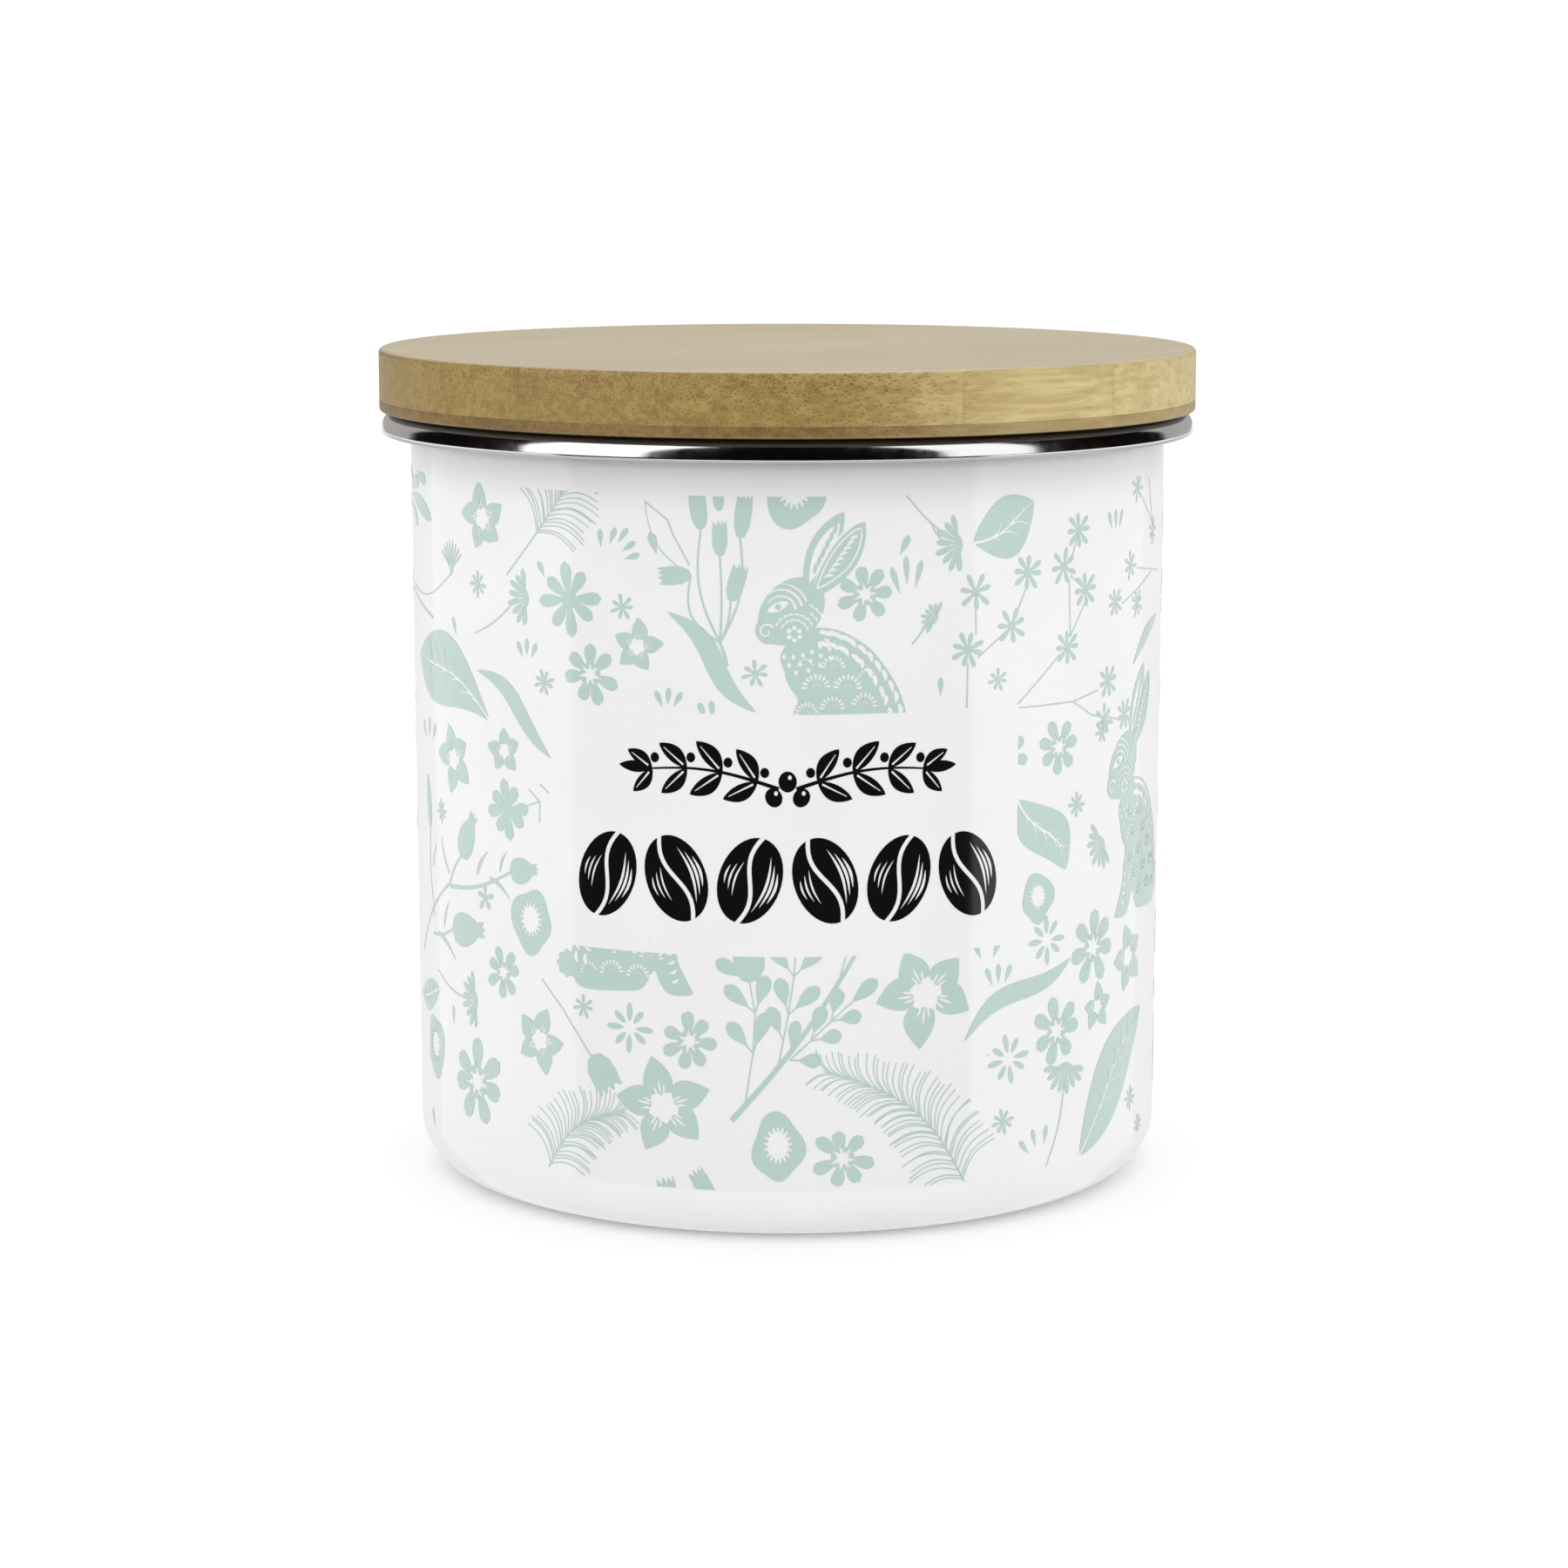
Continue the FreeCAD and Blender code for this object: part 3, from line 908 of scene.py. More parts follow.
def triangles(art, covers):
    """The inked area as (points, triangles), divided at the folds and at the print's edges."""
    points = []
    outlines = []
    kinds = []
    for kind, shapes in art.layers.items():
        for shape in shapes:
            area = sum((a.conjugate() * b).imag for a, b in zip(shape, shape[1:] + shape[:1]))
            outlines.append(list(range(len(points), len(points) + len(shape))))
            points.extend(shape if area > 0 else shape[::-1])
            kinds.append(kind)
    left = min(p.real for p in points) - FOLD
    right = max(p.real for p in points) + FOLD
    bottom = min(p.imag for p in points) - FOLD
    top = max(p.imag for p in points) + FOLD
    uprights = [FOLD * step for step in range(math.ceil(left / FOLD), math.floor(right / FOLD) + 1)]
    uprights += [x for x in (-WINDOW_HALF, WINDOW_HALF) if left < x < right]
    levels = [y for y in (PRINT_BOTTOM, WINDOW_LOW, WINDOW_HIGH, PRINT_TOP) if bottom < y < top]
    lines = [(complex(x, bottom), complex(x, top)) for x in uprights]
    lines += [(complex(left, y), complex(right, y)) for y in levels]
    edges = []
    for line in lines:
        edges.append((len(points), len(points) + 1))
        points.extend(line)
    flat = [Vector((p.real, p.imag)) for p in points]
    spots, _, faces, _, _, owners = delaunay_2d_cdt(flat, edges, outlines, 0, NEAR, True)
    kept = []
    for face, owner in zip(faces, owners):
        found = {kinds[index] for index in owner}
        printed = "over" in found or ("ink" in found and "cut" not in found)
        if printed and "score" not in found:
            if covers(sum((spots[i] for i in face), Vector((0, 0))) / 3):
                kept.append(tuple(face))
    return spots, kept


def add_print(name, arts, material, covers):
    """One closed skin of ink, a few hundredths proud of the wall, from flat artwork."""
    verts = []
    faces = []
    normals = []
    for art in arts:
        spots, kept = triangles(art, covers)
        outer = {}
        inner = {}
        for index in sorted({index for face in kept for index in face}):
            angle = spots[index].x / FLAT_RADIUS
            height = spots[index].y
            for stand, side in ((PRINT_PROUD, outer), (PRINT_ROOT, inner)):
                reach = (WALL_BASE_RADIUS + SLOPE * height + stand) * MM
                side[index] = len(verts)
                verts.append((reach * math.sin(angle), -reach * math.cos(angle), height * MM))
                normals.append(Vector((math.sin(angle), -math.cos(angle), -SLOPE)).normalized())
        edges = {}
        for a, b, c in kept:
            faces.append((outer[a], outer[b], outer[c]))
            faces.append((inner[c], inner[b], inner[a]))
            for edge in ((a, b), (b, c), (c, a)):
                edges[edge] = True
        for a, b in edges:
            if (b, a) not in edges:
                faces.append((outer[b], outer[a], inner[a], inner[b]))
    data = bpy.data.meshes.new(name)
    data.from_pydata(verts, [], faces)
    data.shade_smooth()
    data.normals_split_custom_set_from_vertices(normals)
    piece = link(name, data, material)
    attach(piece, "canister")


# ---------------------------------------------------------------- the pattern

GROUPS = ("sprigs", "florets", "flowers", "ferns", "leaves", "rabbits")
TILE = 144.0
SIDE_REACH = 62.0
LEFT_START = -10.0
HAIR = 0.2


def wall(place):
    """A place on the wall as a point of the flat artwork."""
    return complex(place.real * DEGREE, place.imag)


class Pattern:
    """Placed artwork: (group, art) for everything printed on the wall."""

    def __init__(self, items=()):
        self.items = list(items)

    def put(self, group, art, place, turn=0.0, flip=False):
        self.items.append((group, art.moved(wall(place), turn, flip=flip)))

    def set_out(self, group, make, *rows):
        """One motif a row: its place, its turn, then its own sizes."""
        for place, turn, *sizes in rows:
            self.put(group, make(*sizes), place, turn)

    def grow(self, group, make, *rows):
        """One motif a row, reaching from its foot to its tip; then its sizes after its length."""
        for foot, tip, *sizes in rows:
            reach = wall(tip) - wall(foot)
            turn = math.degrees(cmath.phase(reach / UP))
            self.put(group, make(abs(reach), *sizes), foot, turn)

    def lines(self, group, *rows, width=HAIR):
        """A fine stem through each row of places."""
        for places in rows:
            points = [wall(place) for place in places]
            self.items.append((group, Art(*ribbon(points, width, width))))

    def side_view(self, size, place, turn, stem):
        """A half daisy with its stalk running to a given place."""
        reach = (wall(stem) - wall(place)) / spin(turn)
        self.put("florets", half_daisy(size, reach), place, turn)

    def strokes(self, *rows):
        """Drop strokes round a centre: the centre, their length and width, then their places."""
        for centre, length, width, *places in rows:
            for place in places:
                out = wall(place) - wall(centre)
                out *= length / 2 / abs(out)
                self.put("sprigs", Art(petal(-out, out, width, 0.68, 0.65, count=8)), place)


def draw_flowers(pattern):
    """The flowers of the front, over, beside and under the label window."""
    set_out = pattern.set_out
    set_out("flowers", bellflower,
            (-50.6+99.7j, 12, 9.2, 1), (-21.9+83.7j, -8, 6.8, 2), (-59.8+64.4j, 20, 9.4, 3),
            (-46.1+67.2j, 4, 6.6, 4), (-39.4+26.6j, -20, 8.6, 5), (-18.3+19.2j, 10, 12.6, 6),
            (20.4+35.1j, 30, 13.4, 7), (53.7+29.3j, 5, 6.4, 8), (63.4+35j, 15, 9.4, 9))
    set_out("flowers", daisy,
            (-29.5+79.4j, 0, 8.6, 11), (11+91.2j, 12, 8.0, 16), (43.5+68j, 24, 8.2, 19),
            (33.6+67.6j, 0, 7.6, 20), (-47+35.3j, 20, 7.6, 12), (-54.1+18.2j, 0, 13.0, 13),
            (-14.3+28.8j, 10, 8.4, 14), (8+12.4j, 5, 8.8, 15), (43.8+27.3j, 12, 9.8, 17),
            (52.2+38.2j, 0, 10.8, 18))
    set_out("flowers", poppy,
            (0.9+105.4j, 0, 10.0, 25), (-40.9+43.5j, 0, 9.0, 21), (39.6+47j, 0, 7.0, 23),
            (-69+20.7j, 0, 9.0, 24), (-1.4+14.1j, 0, 9.5, 22, 1.34))
    set_out("florets", floret,
            (-51.9+90.3j, 0, 4.0, 8), (-33+89.6j, 8, 10.6, 8, 0.34), (-24.2+89j, 10, 3.8, 7),
            (-37.7+77.7j, 20, 3.8, 8), (-4.6+80.4j, 5, 4.0, 7), (31.7+78.5j, 0, 3.4, 7),
            (-45.6+58.9j, 10, 8.8, 8, 0.42), (-64.6+56.2j, 8, 3.6, 8), (-51.2+45.5j, 0, 4.2, 5, 0.4),
            (53.8+69.2j, 0, 3.6, 7), (47.6+59.4j, 0, 3.8, 8), (-31.2+32.4j, 0, 3.6, 7),
            (33.4+15.6j, 14, 4.0, 8), (65.2+13.7j, 0, 4.0, 8), (69.3+8.9j, 20, 3.6, 8),
            (41.5+40.7j, 4, 7.2, 8, 0.24, 0.26), (-23.5+30.1j, 0, 7.2, 8, 0.24, 0.26),
            (34.3+24.5j, 12, 7.4, 8, 0.23, 0.26))
    set_out("florets", half_daisy, (54.2+53.1j, 128, 5.6))
    set_out("florets", thistle, (-59.5+91.2j, 0, 4.9, -19-3.3j))
    pattern.side_view(5.6, -41.1+89.2j, 92, -52.8+83.3j)
    pattern.side_view(5.6, 25+97.7j, 98, 20.6+100.8j)
    pattern.side_view(3.3, 21.4+87.5j, 62, 17.9+84.2j)
    pattern.side_view(5.8, -54.2+30.1j, 96, -67.1+32.4j)
    pattern.side_view(6.2, 45.9+21.8j, 172, 41.8+7.8j)


def draw_leaves(pattern):
    """The rabbits, leaves, ferns, buds and loose strokes of the front."""
    put = pattern.put
    grow = pattern.grow
    put("rabbits", rabbit(35.0), 67.5j)
    put("rabbits", rabbit(36.0), 60.2+41.4j)
    put("rabbits", rabbit(35.0), -15.5+35.3j, flip=True)
    grow("leaves", leaf,
         (-49.2+71j, -74.9+77.9j, 11.2, -0.1, 5, 0.5, 0.6), (27.4+97.7j, 37.8+102.9j, 8.2, -0.08, 3, 0.3),
         (35.4+61.3j, 45.4+50.4j, 7.4, 0.05, 4, 0.8), (-66.8+29.6j, -78.5+27.2j, 4.6, 0.06, 3, 0.2),
         (49.5+8.1j, 69.2+26.8j, 9.6, 0.06, 5, 0.5))
    grow("leaves", blade,
         (-52.5+78.1j, -36.6+67.1j, 2.6, 0.1, 0.04), (-17.2+88.6j, -4.5+75.1j, 2.9, 0.02, 0.05),
         (63.5+77.7j, 76+83.6j, 2.0, 0.08), (26.6+27.9j, 46.7+37.5j, 2.9, 0.07, 0.05))
    grow("ferns", fern,
         (-45+92.2j, -29.5+110.5j, 15.0, 22, -0.03, 0.36, 31),
         (-37.8+8.5j, -24.3+18j, 13.0, 24, 0.14, 0.04, 32), (27+7.3j, 5.1+24.9j, 14.5, 36, -0.13, 0.03, 33))
    grow("sprigs", drop,
         (-82+100.8j, -66.9+98.2j, 2.6), (-83+101.2j, -73.5+103.2j, 2.2), (-81+99.6j, -75+96.6j, 1.8),
         (-77+105.4j, -69.5+103.2j, 2.2), (-87+105j, -80+102.4j, 2.0))
    grow("sprigs", tulip, (-29.6+25.7j, -26.4+20.7j, 4.4))
    put("sprigs", tulip(6.4, 2.9), -16.8+3j, 12)
    put("sprigs", tulip(5.6, 2.5), -10.8+5.8j, 30)
    put("sprigs", tulip_spray(), -9.6+84.6j)
    put("sprigs", bud_branch(), -76.1+33.9j)
    put("sprigs", sprig(), -8.1+17.8j)
    pattern.lines("sprigs", (-20.6+103.7j, -17.1+101.2j, -16.5+99.5j, -14+95.2j),
                  (16.9+104.6j, 19.5+101.7j, 22.2+99.5j), (-38.8+35.5j, -35+31.8j, -29.7+25.2j))
    pattern.lines("florets", (-80.4+87j, -66.9+84.1j), width=0.4)
    pattern.lines("florets", (-43.3+59.2j, -38.8+60.8j), (-41+62.3j, -38.8+60.8j),
                  (-38.8+63.3j, -37+62.1j), (-38.8+60.8j, -38.9+57.9j))
    pattern.strokes(
        (-27.4+94.6j, 2.5, 0.85, -27.6+98.4j, -25.6+98.8j, -24+98.9j, -23.1+97.4j, -22.6+96j),
        (-18+94j, 3.2, 1.3, -19.3+98j), (-36+90j, 2.4, 0.9, -38+93.5j),
        (-57+80j, 2.6, 0.9, -58.8+83.8j), (-41+79j, 2.4, 0.8, -42.4+82j, -41+82.4j, -39.6+82j),
        (-17.4+74j, 2.4, 0.8, -18.6+76.6j, -17.2+77j, -15.8+76.6j),
        (-10.5+71.5j, 2.4, 0.9, -12.2+75.2j, -10.8+75.4j), (15+94.5j, 3.0, 1.0, 16.7+97.8j),
        (17.3+87.6j, 4.0, 0.85, 15.4+93j, 17+94.4j, 18.8+93.8j),
        (22.3+74j, 2.6, 0.8, 22.3+78.1j),
        (56.8+95j, 2.6, 0.8, 55.2+99.1j, 56.8+99.2j, 58.4+99.2j),
        (-69.8+63j, 2.8, 0.9, -72.4+67.3j, -69.6+67.9j, -67.2+67.5j),
        (30.3+37j, 2.6, 0.9, 28.7+40.6j, 31.9+40.6j), (-61.2+22j, 2.8, 0.9, -61.2+26.8j),
        (-69+5j, 2.8, 0.9, -71.1+9.6j), (32.3+33j, 2.8, 0.85, 30.7+36.7j, 32.3+37j, 34+36.8j),
        (40.6+7.6j, 2.8, 0.85, 37.4+11.3j, 39.3+12.4j, 41.6+12.6j))


def draw_floret_spray(pattern):
    """Small florets joined by thin straight stems, at the upper right."""
    for place, size in (
            (27.8+90.9j, 5.6), (36.9+93.1j, 5.6), (34+85.8j, 5.5), (26.6+83j, 5.5),
            (44+93.4j, 5.6), (47.2+98.3j, 5.6), (49+89.8j, 5.6), (45+82j, 5.4),
            (55.3+76.2j, 5.2), (64.2+103j, 4.4), (72+96.3j, 4.4), (61.9+92.1j, 4.4),
            (57.1+87.3j, 4.4), (64.8+86.4j, 4.4), (60.6+70.9j, 5.0), (54.3+70.7j, 5.0)):
        pattern.put("florets", floret(size, 7 + round(place.real) % 2, 0.26), place, place.real)
    pattern.lines(
        "florets", (27.8+90.9j, 27.9+85j), (26.6+81.1j, 26.5+74.9j), (34+85.8j, 36.4+90.7j),
        (28.2+81.8j, 34+85.8j), (45.2+91.6j, 45.6+83.5j), (49+88.2j, 45.6+83.5j),
        (43.3+81.1j, 34.6+74.3j), (34.6+74.3j, 46.4+74.2j, 52.3+75.2j),
        (46.4+74.2j, 51+71.8j, 59.7+70.2j), (47.2+98.3j, 45.5+93.9j), (45.5+92j, 49+89.8j),
        (64.2+103j, 71+97.7j), (69.2+104j, 72+96.3j), (64.6+91.5j, 76.8+90j),
        (71.5+90.4j, 59.2+86.9j))


def draw_window_filling(pattern):
    """What the repeats of the tile show where the front has its plain window."""
    pattern.set_out("flowers", daisy, (-13+70j, 0, 8.6, 42), (22+65.5j, 14, 8.0, 44))
    pattern.set_out("flowers", poppy, (2+55.5j, 0, 9.0, 43))
    pattern.set_out("flowers", bellflower, (14.6+50j, 30, 9.0, 45))
    pattern.set_out("leaves", blade, (24+49j, -30, 16.0, 3.2, 0.14))
    pattern.set_out("florets", floret, (-33+71j, 0, 5.4, 7), (-5+56j, 20, 4.4, 8),
                    (29+58.5j, 0, 7.0, 8, 0.24, 0.26))
    pattern.strokes((-19.5+42j, 2.8, 0.9, -21+46j, -19.5+46.4j, -18+46j),
                    (9+56j, 2.6, 0.9, 7.6+59.5j, 9+60j, 10.4+59.5j))


def draw_seams(pattern):
    """Flowers over the bare bands between the repeats, at the sides and the back."""
    put = pattern.put
    for place, size in ((88+97j, 8.5), (91.5+46.5j, 8.0), (203.5+61.5j, 10.0), (-89.5+52j, 9.0)):
        put("flowers", bellflower(size, 50 + place.imag), place, place.real)
    for place, size in ((91+80.5j, 7.6), (86.5+35j, 7.5), (212.5+56.5j, 8.0), (198+86j, 7.6)):
        put("flowers", daisy(size, 60 + place.imag), place, place.real)
    for place, size in ((92+63.5j, 8.0), (86.5+15.5j, 8.0), (206.5+20j, 8.4)):
        put("flowers", poppy(size, 70 + place.imag), place)
    for place, size in ((85.5+87.5j, 4.2), (86.5+71j, 5.0), (92.5+10.5j, 4.2), (86.5+54.5j, 5.2),
                        (91.5+25.5j, 6.0), (203+47.5j, 5.2), (-88+64.5j, 5.0),
                        (199.5+72.5j, 5.4), (205.5+32.5j, 5.0), (199+12j, 4.4)):
        put("florets", floret(size, 8, 0.28), place, place.real)


def printed_groups():
    """Placed artwork by group: the tile at the front and its repeats round the sides and back."""
    front = Pattern()
    draw_flowers(front)
    draw_leaves(front)
    draw_floret_spray(front)
    repeat = Pattern(front.items)
    draw_window_filling(repeat)
    seams = Pattern()
    draw_seams(seams)
    groups = {group: [] for group in GROUPS}
    # each run: what is repeated, how far round it moves, and its first and last angle
    for pattern, shift, first, last in (
            (front, 0.0, -180.0, 180.0), (repeat, TILE, -SIDE_REACH, SIDE_REACH),
            (repeat, -TILE, LEFT_START, SIDE_REACH), (seams, 0.0, -180.0, 360.0)):
        # only motifs that lie wholly within the run's angles are taken
        for group, art in pattern.items:
            across = [point.real / DEGREE for outline in art.layers["ink"] for point in outline]
            if first <= min(across) and max(across) <= last:
                groups[group].append(art.moved(shift * DEGREE))
    return groups


# ---------------------------------------------------------------- canister

def make_canister(enamel):
    """The drawn pot: dished base, drafted wall, lip turned out and down under the rim."""
    lip_bottom = LIP_TOP + RIM_GAUGE * 2 - (CROWN - RIM_BOTTOM)
    shoulder = RIM_TOP_RADIUS - RIM_GAUGE
    edge = RIM_RADIUS - RIM_GAUGE
    bend = RIM_SHOULDER - RIM_GAUGE
    mesh = turned([
        (0, BASE_LIFT, 0),
        (DISH_RADIUS, BASE_LIFT, DISH_ROUND),
        (FOOT_INNER_RADIUS, 0, 1.5),
        (WALL_BASE_RADIUS, 0, BASE_CORNER),
        (WALL_TOP_RADIUS, NECK, 1.0),
        (shoulder - WALL, NECK, bend - WALL),
        (edge - WALL, lip_bottom, 0.3),
        (edge, lip_bottom, 0.3),
        (shoulder, LIP_TOP, bend),
        (WALL_TOP_RADIUS - WALL, LIP_TOP, 1.0 + WALL),
        (WALL_BASE_RADIUS - WALL, WALL, BASE_CORNER - WALL),
        (FOOT_INNER_RADIUS, WALL, 2.0),
        (DISH_RADIUS, BASE_LIFT + WALL, DISH_ROUND),
        (0, BASE_LIFT + WALL, 0),
    ])
    stand_for(add_object("enamel_pot", mesh, enamel), "canister_body", "canister")


def make_ring(steel):
    """The polished strip formed over the lip."""
    hook_top = RIM_BOTTOM + RIM_GAUGE
    mesh = turned([
        (RIM_BORE, LIP_TOP, 0.1),
        (RIM_TOP_RADIUS - RIM_GAUGE, LIP_TOP, RIM_SHOULDER - RIM_GAUGE),
        (RIM_RADIUS - RIM_GAUGE, hook_top, 0.2),
        (RIM_HOOK_RADIUS, hook_top, 0.12),
        (RIM_HOOK_RADIUS, RIM_BOTTOM, 0.12),
        (RIM_RADIUS, RIM_BOTTOM, RIM_LOWER_ROUND),
        (RIM_TOP_RADIUS, CROWN, RIM_SHOULDER),
        (RIM_BORE, CROWN, 0.2),
    ])
    stand_for(add_object("steel_rim", mesh, steel), "rim_ring", "canister")


def make_seal(silicone):
    """The silicone ring with three rounded lips."""
    bottom = low("lid_seal")
    top = high("lid_seal")
    bore = PLUG_RADIUS - GROOVE_DEPTH + SEAL_CLEARANCE
    reach = high("lid_seal", 0)
    pitch = (top - bottom - SEAL_LIP) / (SEAL_LIPS - 1)
    corners = []
    for index in range(SEAL_LIPS):
        under = bottom + pitch * index
        corners += [(SEAL_CORE_RADIUS, under, 0.15), (reach, under, 0.3),
                    (reach, under + SEAL_LIP, 0.3), (SEAL_CORE_RADIUS, under + SEAL_LIP, 0.15)]
    # the bore takes the place of the first and the last corner at the core
    corners = [(bore, bottom, 0.2)] + corners[1:-1] + [(bore, top, 0.2)]
    stand_for(add_object("silicone_seal", turned(corners), silicone), "lid_seal", "seal")


# ---------------------------------------------------------------- lid

def cut_away(mesh, place, normal):
    """Drops what lies on the normal's side of a plane and closes the cut."""
    everything = mesh.verts[:] + mesh.edges[:] + mesh.faces[:]
    cut = bmesh.ops.bisect_plane(
        mesh, geom=everything, dist=CUT_NEAR, plane_co=place, plane_no=normal, clear_outer=True)
    rim = [item for item in cut["geom_cut"] if isinstance(item, bmesh.types.BMEdge)]
    if rim:
        bmesh.ops.edgeloop_fill(mesh, edges=rim)


def make_staves(corners, ply, first_joint, count, material):
    """The glued strips of one ply, cut from a turned blank."""
    grain = math.radians(GRAIN_ANGLE)
    across = Vector((-math.sin(grain), math.cos(grain), 0))
    for index in range(count):
        mesh = turned(corners)
        near = (first_joint + STAVE_WIDTH * (index - 1)) * MM
        far = near + STAVE_WIDTH * MM
        if index:
            cut_away(mesh, across * near, -across)
        if index < count - 1:
            cut_away(mesh, across * far, across)
        bmesh.ops.recalc_face_normals(mesh, faces=mesh.faces)
        stave = add_object(f"bamboo_{ply}_{index + 1}", mesh, material)
        stand_for(stave, f"lid_{ply}_stave_{index + 1}", "lid")


def make_lid(top_wood, lower_wood):
    """Two plies of bamboo strips, the lower one with the plug and its groove."""
    make_staves([
        (0, PLY_LINE, 0),
        (LID_RADIUS, PLY_LINE, PLY_ROUND),
        (LID_RADIUS, HEIGHT, LID_TOP_ROUND),
        (0, HEIGHT, 0),
    ], "top", TOP_JOINT, TOP_STAVES, top_wood)
    groove_top = LID_UNDERSIDE - GROOVE_DROP
    groove_bottom = groove_top - GROOVE_HEIGHT
    groove_radius = PLUG_RADIUS - GROOVE_DEPTH
    make_staves([
        (0, PLUG_BOTTOM, 0),
        (PLUG_RADIUS, PLUG_BOTTOM, PLUG_CHAMFER),
        (PLUG_RADIUS, groove_bottom, GROOVE_ROUND),
        (groove_radius, groove_bottom, 0),
        (groove_radius, groove_top, 0),
        (PLUG_RADIUS, groove_top, GROOVE_ROUND),
        (PLUG_RADIUS, LID_UNDERSIDE, 0),
        (LID_RADIUS, LID_UNDERSIDE, LID_BOTTOM_ROUND),
        (LID_RADIUS, PLY_LINE, PLY_ROUND),
        (0, PLY_LINE, 0),
    ], "lower", LOWER_JOINT, LOWER_STAVES, lower_wood)


# ---------------------------------------------------------------- studio

FLOOR_RADIUS = 60.0
FLOOR_SEGMENTS = 96
FLOOR_SHADE = 0.83
FLOOR_GLOW = 0.16
CAMERA_PLACE = (-0.0005, -0.6438, 0.1597)
CAMERA_PITCH = 9.12
CAMERA_LENS = 100.0
CAMERA_SENSOR = 36.0
AMBIENT = 1.2
DARK = (0.003, 0.002, 0.002)
GREY = (0.43, 0.42, 0.40)
BRIGHT = (1.0, 1.0, 1.0)
PANEL_DISTANCE = 0.95
PANEL_STEP = 5
BODY_PANEL_LOW = -0.6
BODY_PANEL_HIGH = 0.06
RING_PANEL_LOW = 0.14
RING_PANEL_HIGH = 1.6


def emission_material(name, colour, strength):
    material = bpy.data.materials.new(name)
    material.use_nodes = True
    tree = material.node_tree
    tree.nodes.remove(tree.nodes["Principled BSDF"])
    glow = tree.nodes.new("ShaderNodeEmission")
    glow.inputs["Color"].default_value = (*colour, 1.0)
    glow.inputs["Strength"].default_value = strength
    tree.links.new(glow.outputs[0], tree.nodes["Material Output"].inputs["Surface"])
    return material


def add_floor():
    """A wide pale disc that fades into the pale surroundings."""
    mesh = bmesh.new()
    bmesh.ops.create_circle(mesh, cap_ends=True, radius=FLOOR_RADIUS, segments=FLOOR_SEGMENTS)
    shader = Shader("studio_floor", Base_Color=(FLOOR_SHADE, FLOOR_SHADE, FLOOR_SHADE), Roughness=0.6,
                    Specular_IOR_Level=0.0, Emission_Color=BRIGHT, Emission_Strength=FLOOR_GLOW)
    floor = add_object("studio_floor", mesh, shader.material)
    floor.visible_glossy = False


def add_panel(name, start, end, low_edge, high_edge, distance, colour, strength, flare=0.0):
    """An upright curved reflector, seen in reflections and nowhere else.

    It runs between two azimuths in degrees, its edges and distance are in metres, and flare widens
    its top by that many degrees each side.
    """
    steps = max(2, round(abs(end - start) / PANEL_STEP))
    mesh = bmesh.new()
    columns = []
    for step in range(steps + 1):
        share = step / steps
        column = []
        for height, spread in ((low_edge, 0.0), (high_edge, flare)):
            angle = math.radians(start + (end - start) * share + spread * (2 * share - 1))
            column.append(mesh.verts.new((
                distance * math.sin(angle), -distance * math.cos(angle), height)))
        columns.append(column)
    for (a, b), (c, d) in zip(columns, columns[1:]):
        mesh.faces.new((a, c, d, b))
    panel = add_object(name, mesh, emission_material(name, colour, strength))
    panel.visible_camera = False
    panel.visible_diffuse = False
    panel.visible_shadow = False
    panel.visible_transmission = False


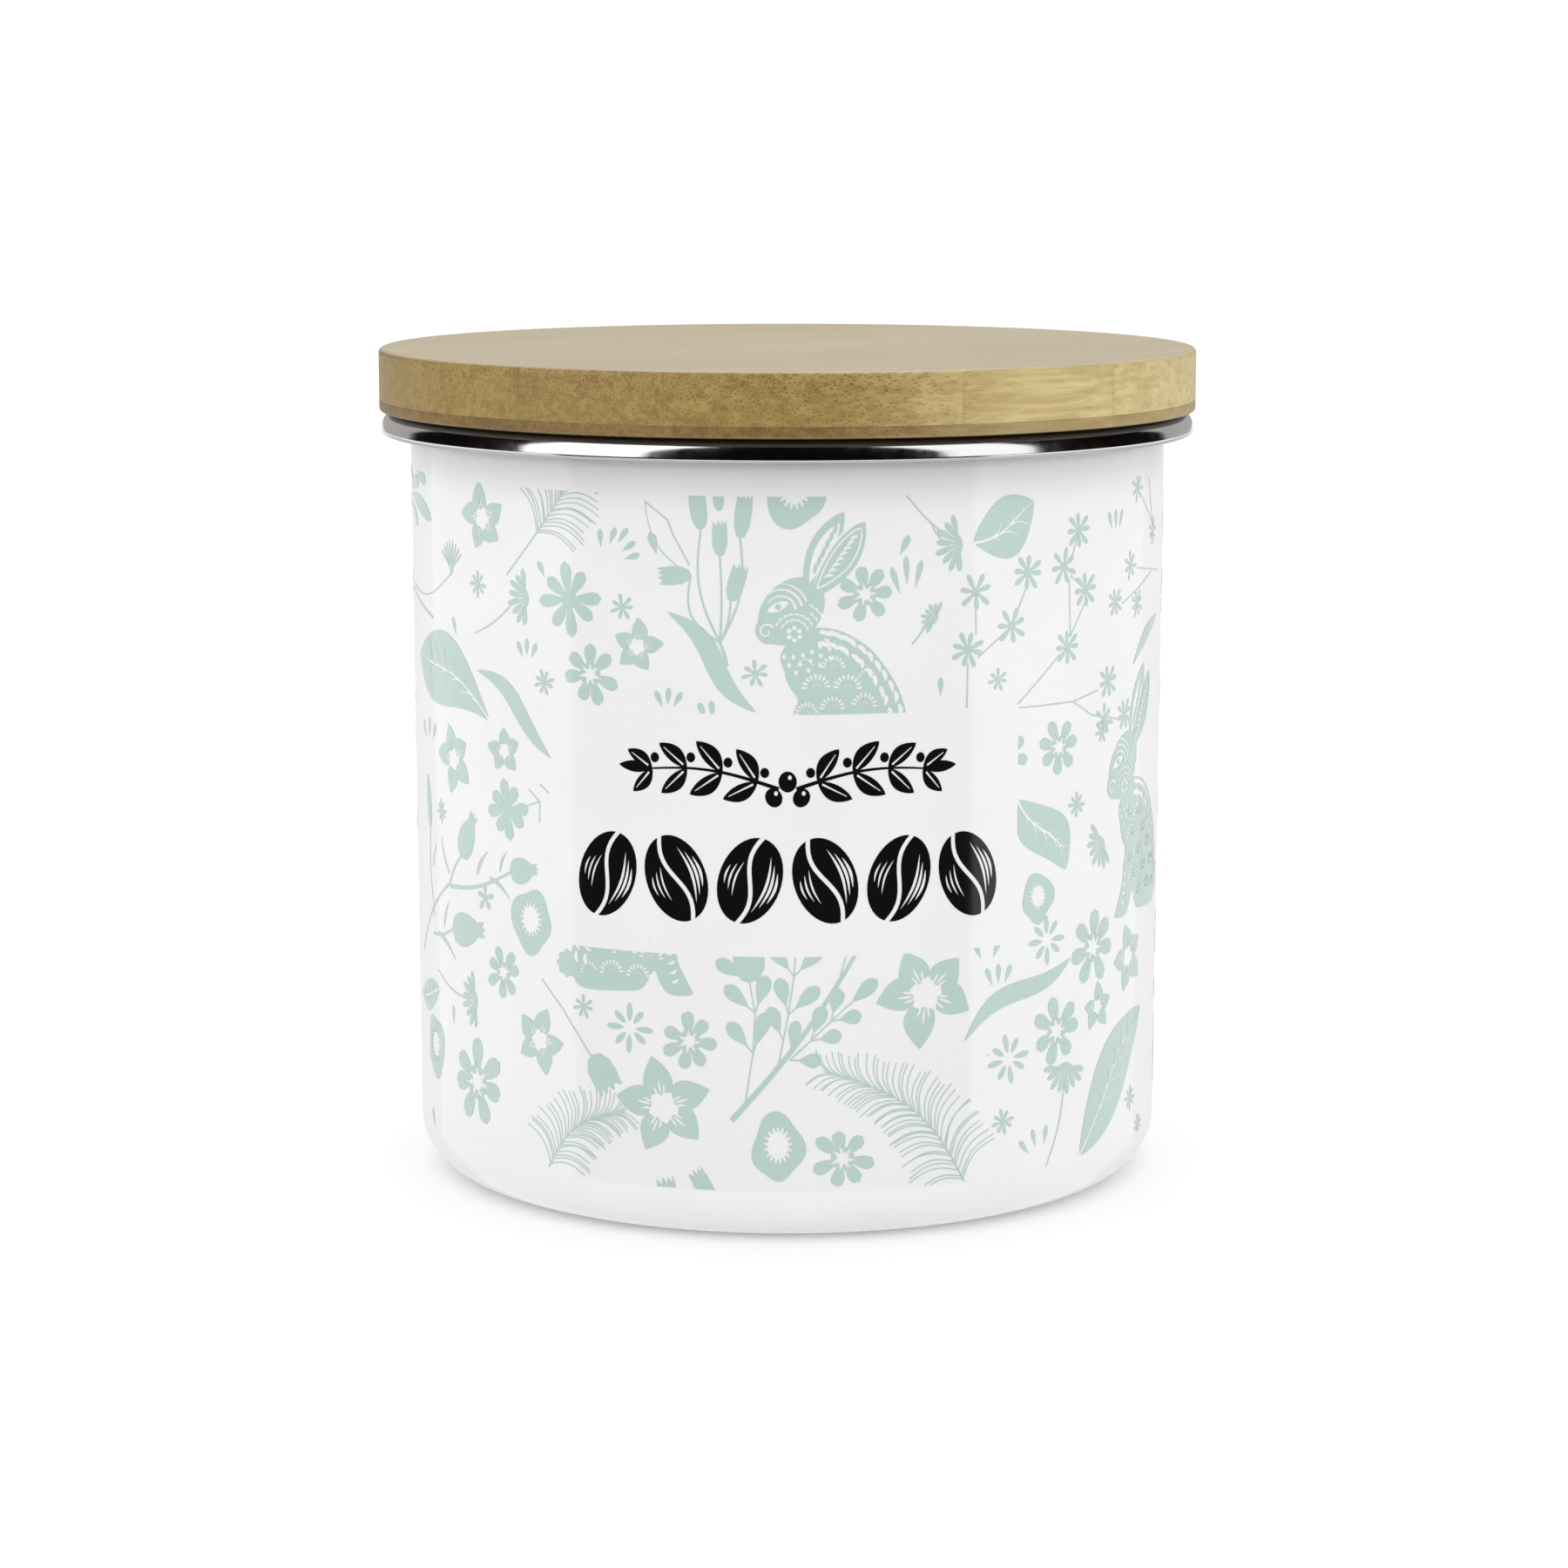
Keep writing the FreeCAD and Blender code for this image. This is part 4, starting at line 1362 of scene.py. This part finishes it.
def add_studio():
    """Even white surroundings, with dark cards and bright panels for the reflections."""
    world = bpy.data.worlds.new("studio")
    world.use_nodes = True
    background = world.node_tree.nodes["Background"]
    background.inputs["Color"].default_value = (*BRIGHT, 1.0)
    background.inputs["Strength"].default_value = AMBIENT
    bpy.context.scene.world = world
    bpy.context.scene.view_settings.view_transform = "Standard"
    add_floor()
    add_panel("dark_surround", -130, 130, -0.45, 3.0, 1.3, DARK, 1.0)
    for name, start, end, strength in (
            ("body_panel_left", -135, -66, 1.15), ("body_panel_right", 56, 135, 1.1),
            ("body_card_back", 135, 225, 0.85)):
        add_panel(name, start, end, BODY_PANEL_LOW, BODY_PANEL_HIGH, PANEL_DISTANCE, BRIGHT, strength)
    add_panel("ring_card_back", 129, 231, BODY_PANEL_HIGH, RING_PANEL_HIGH, 1.2, GREY, 1.0)
    for name, start, end, strength, flare in (
            ("ring_panel_left", -76, -40, 1.5, 10.0), ("ring_panel_right", 44, 70, 1.2, 9.0)):
        add_panel(name, start, end, RING_PANEL_LOW, RING_PANEL_HIGH, PANEL_DISTANCE, BRIGHT, strength,
                  flare)


def add_camera():
    data = bpy.data.cameras.new("camera")
    data.lens = CAMERA_LENS
    data.sensor_width = CAMERA_SENSOR
    camera = bpy.data.objects.new("camera", data)
    camera.location = CAMERA_PLACE
    camera.rotation_euler = (math.radians(90 - CAMERA_PITCH), 0, 0)
    bpy.context.scene.collection.objects.link(camera)
    bpy.context.scene.camera = camera


# ---------------------------------------------------------------- assembly

WHITE = (0.78, 0.78, 0.78)
SAGE = (0.445, 0.575, 0.54)
BLACK = (0.005, 0.005, 0.006)

make_canister(enamel_material("white_enamel", WHITE, 0.02))
make_ring(steel_material())
make_seal(silicone_material())
make_lid(
    bamboo_material("bamboo_top", TOP_JOINT, PLY_LINE, (0.65, 0.53, 0.245), (0.45, 0.33, 0.115),
                    (0.375, 0.25, 0.058), (0.24, 0.142, 0.024), (0.12, 0.06, 0.012)),
    bamboo_material("bamboo_lower", LOWER_JOINT, LID_UNDERSIDE, (0.43, 0.32, 0.12), (0.31, 0.215, 0.07),
                    (0.265, 0.165, 0.032), (0.148, 0.084, 0.012), (0.1, 0.05, 0.01)))
sage = enamel_material("sage_print", SAGE, 0.03)
for group, arts in printed_groups().items():
    add_print("print_" + group, arts, sage, in_print)
black = enamel_material("black_print", BLACK, 0.0)
emblem = bean_emblem().moved(complex(0, (WINDOW_LOW + WINDOW_HIGH) / 2))
add_print("print_emblem", [emblem], black, in_window)
add_studio()
add_camera()
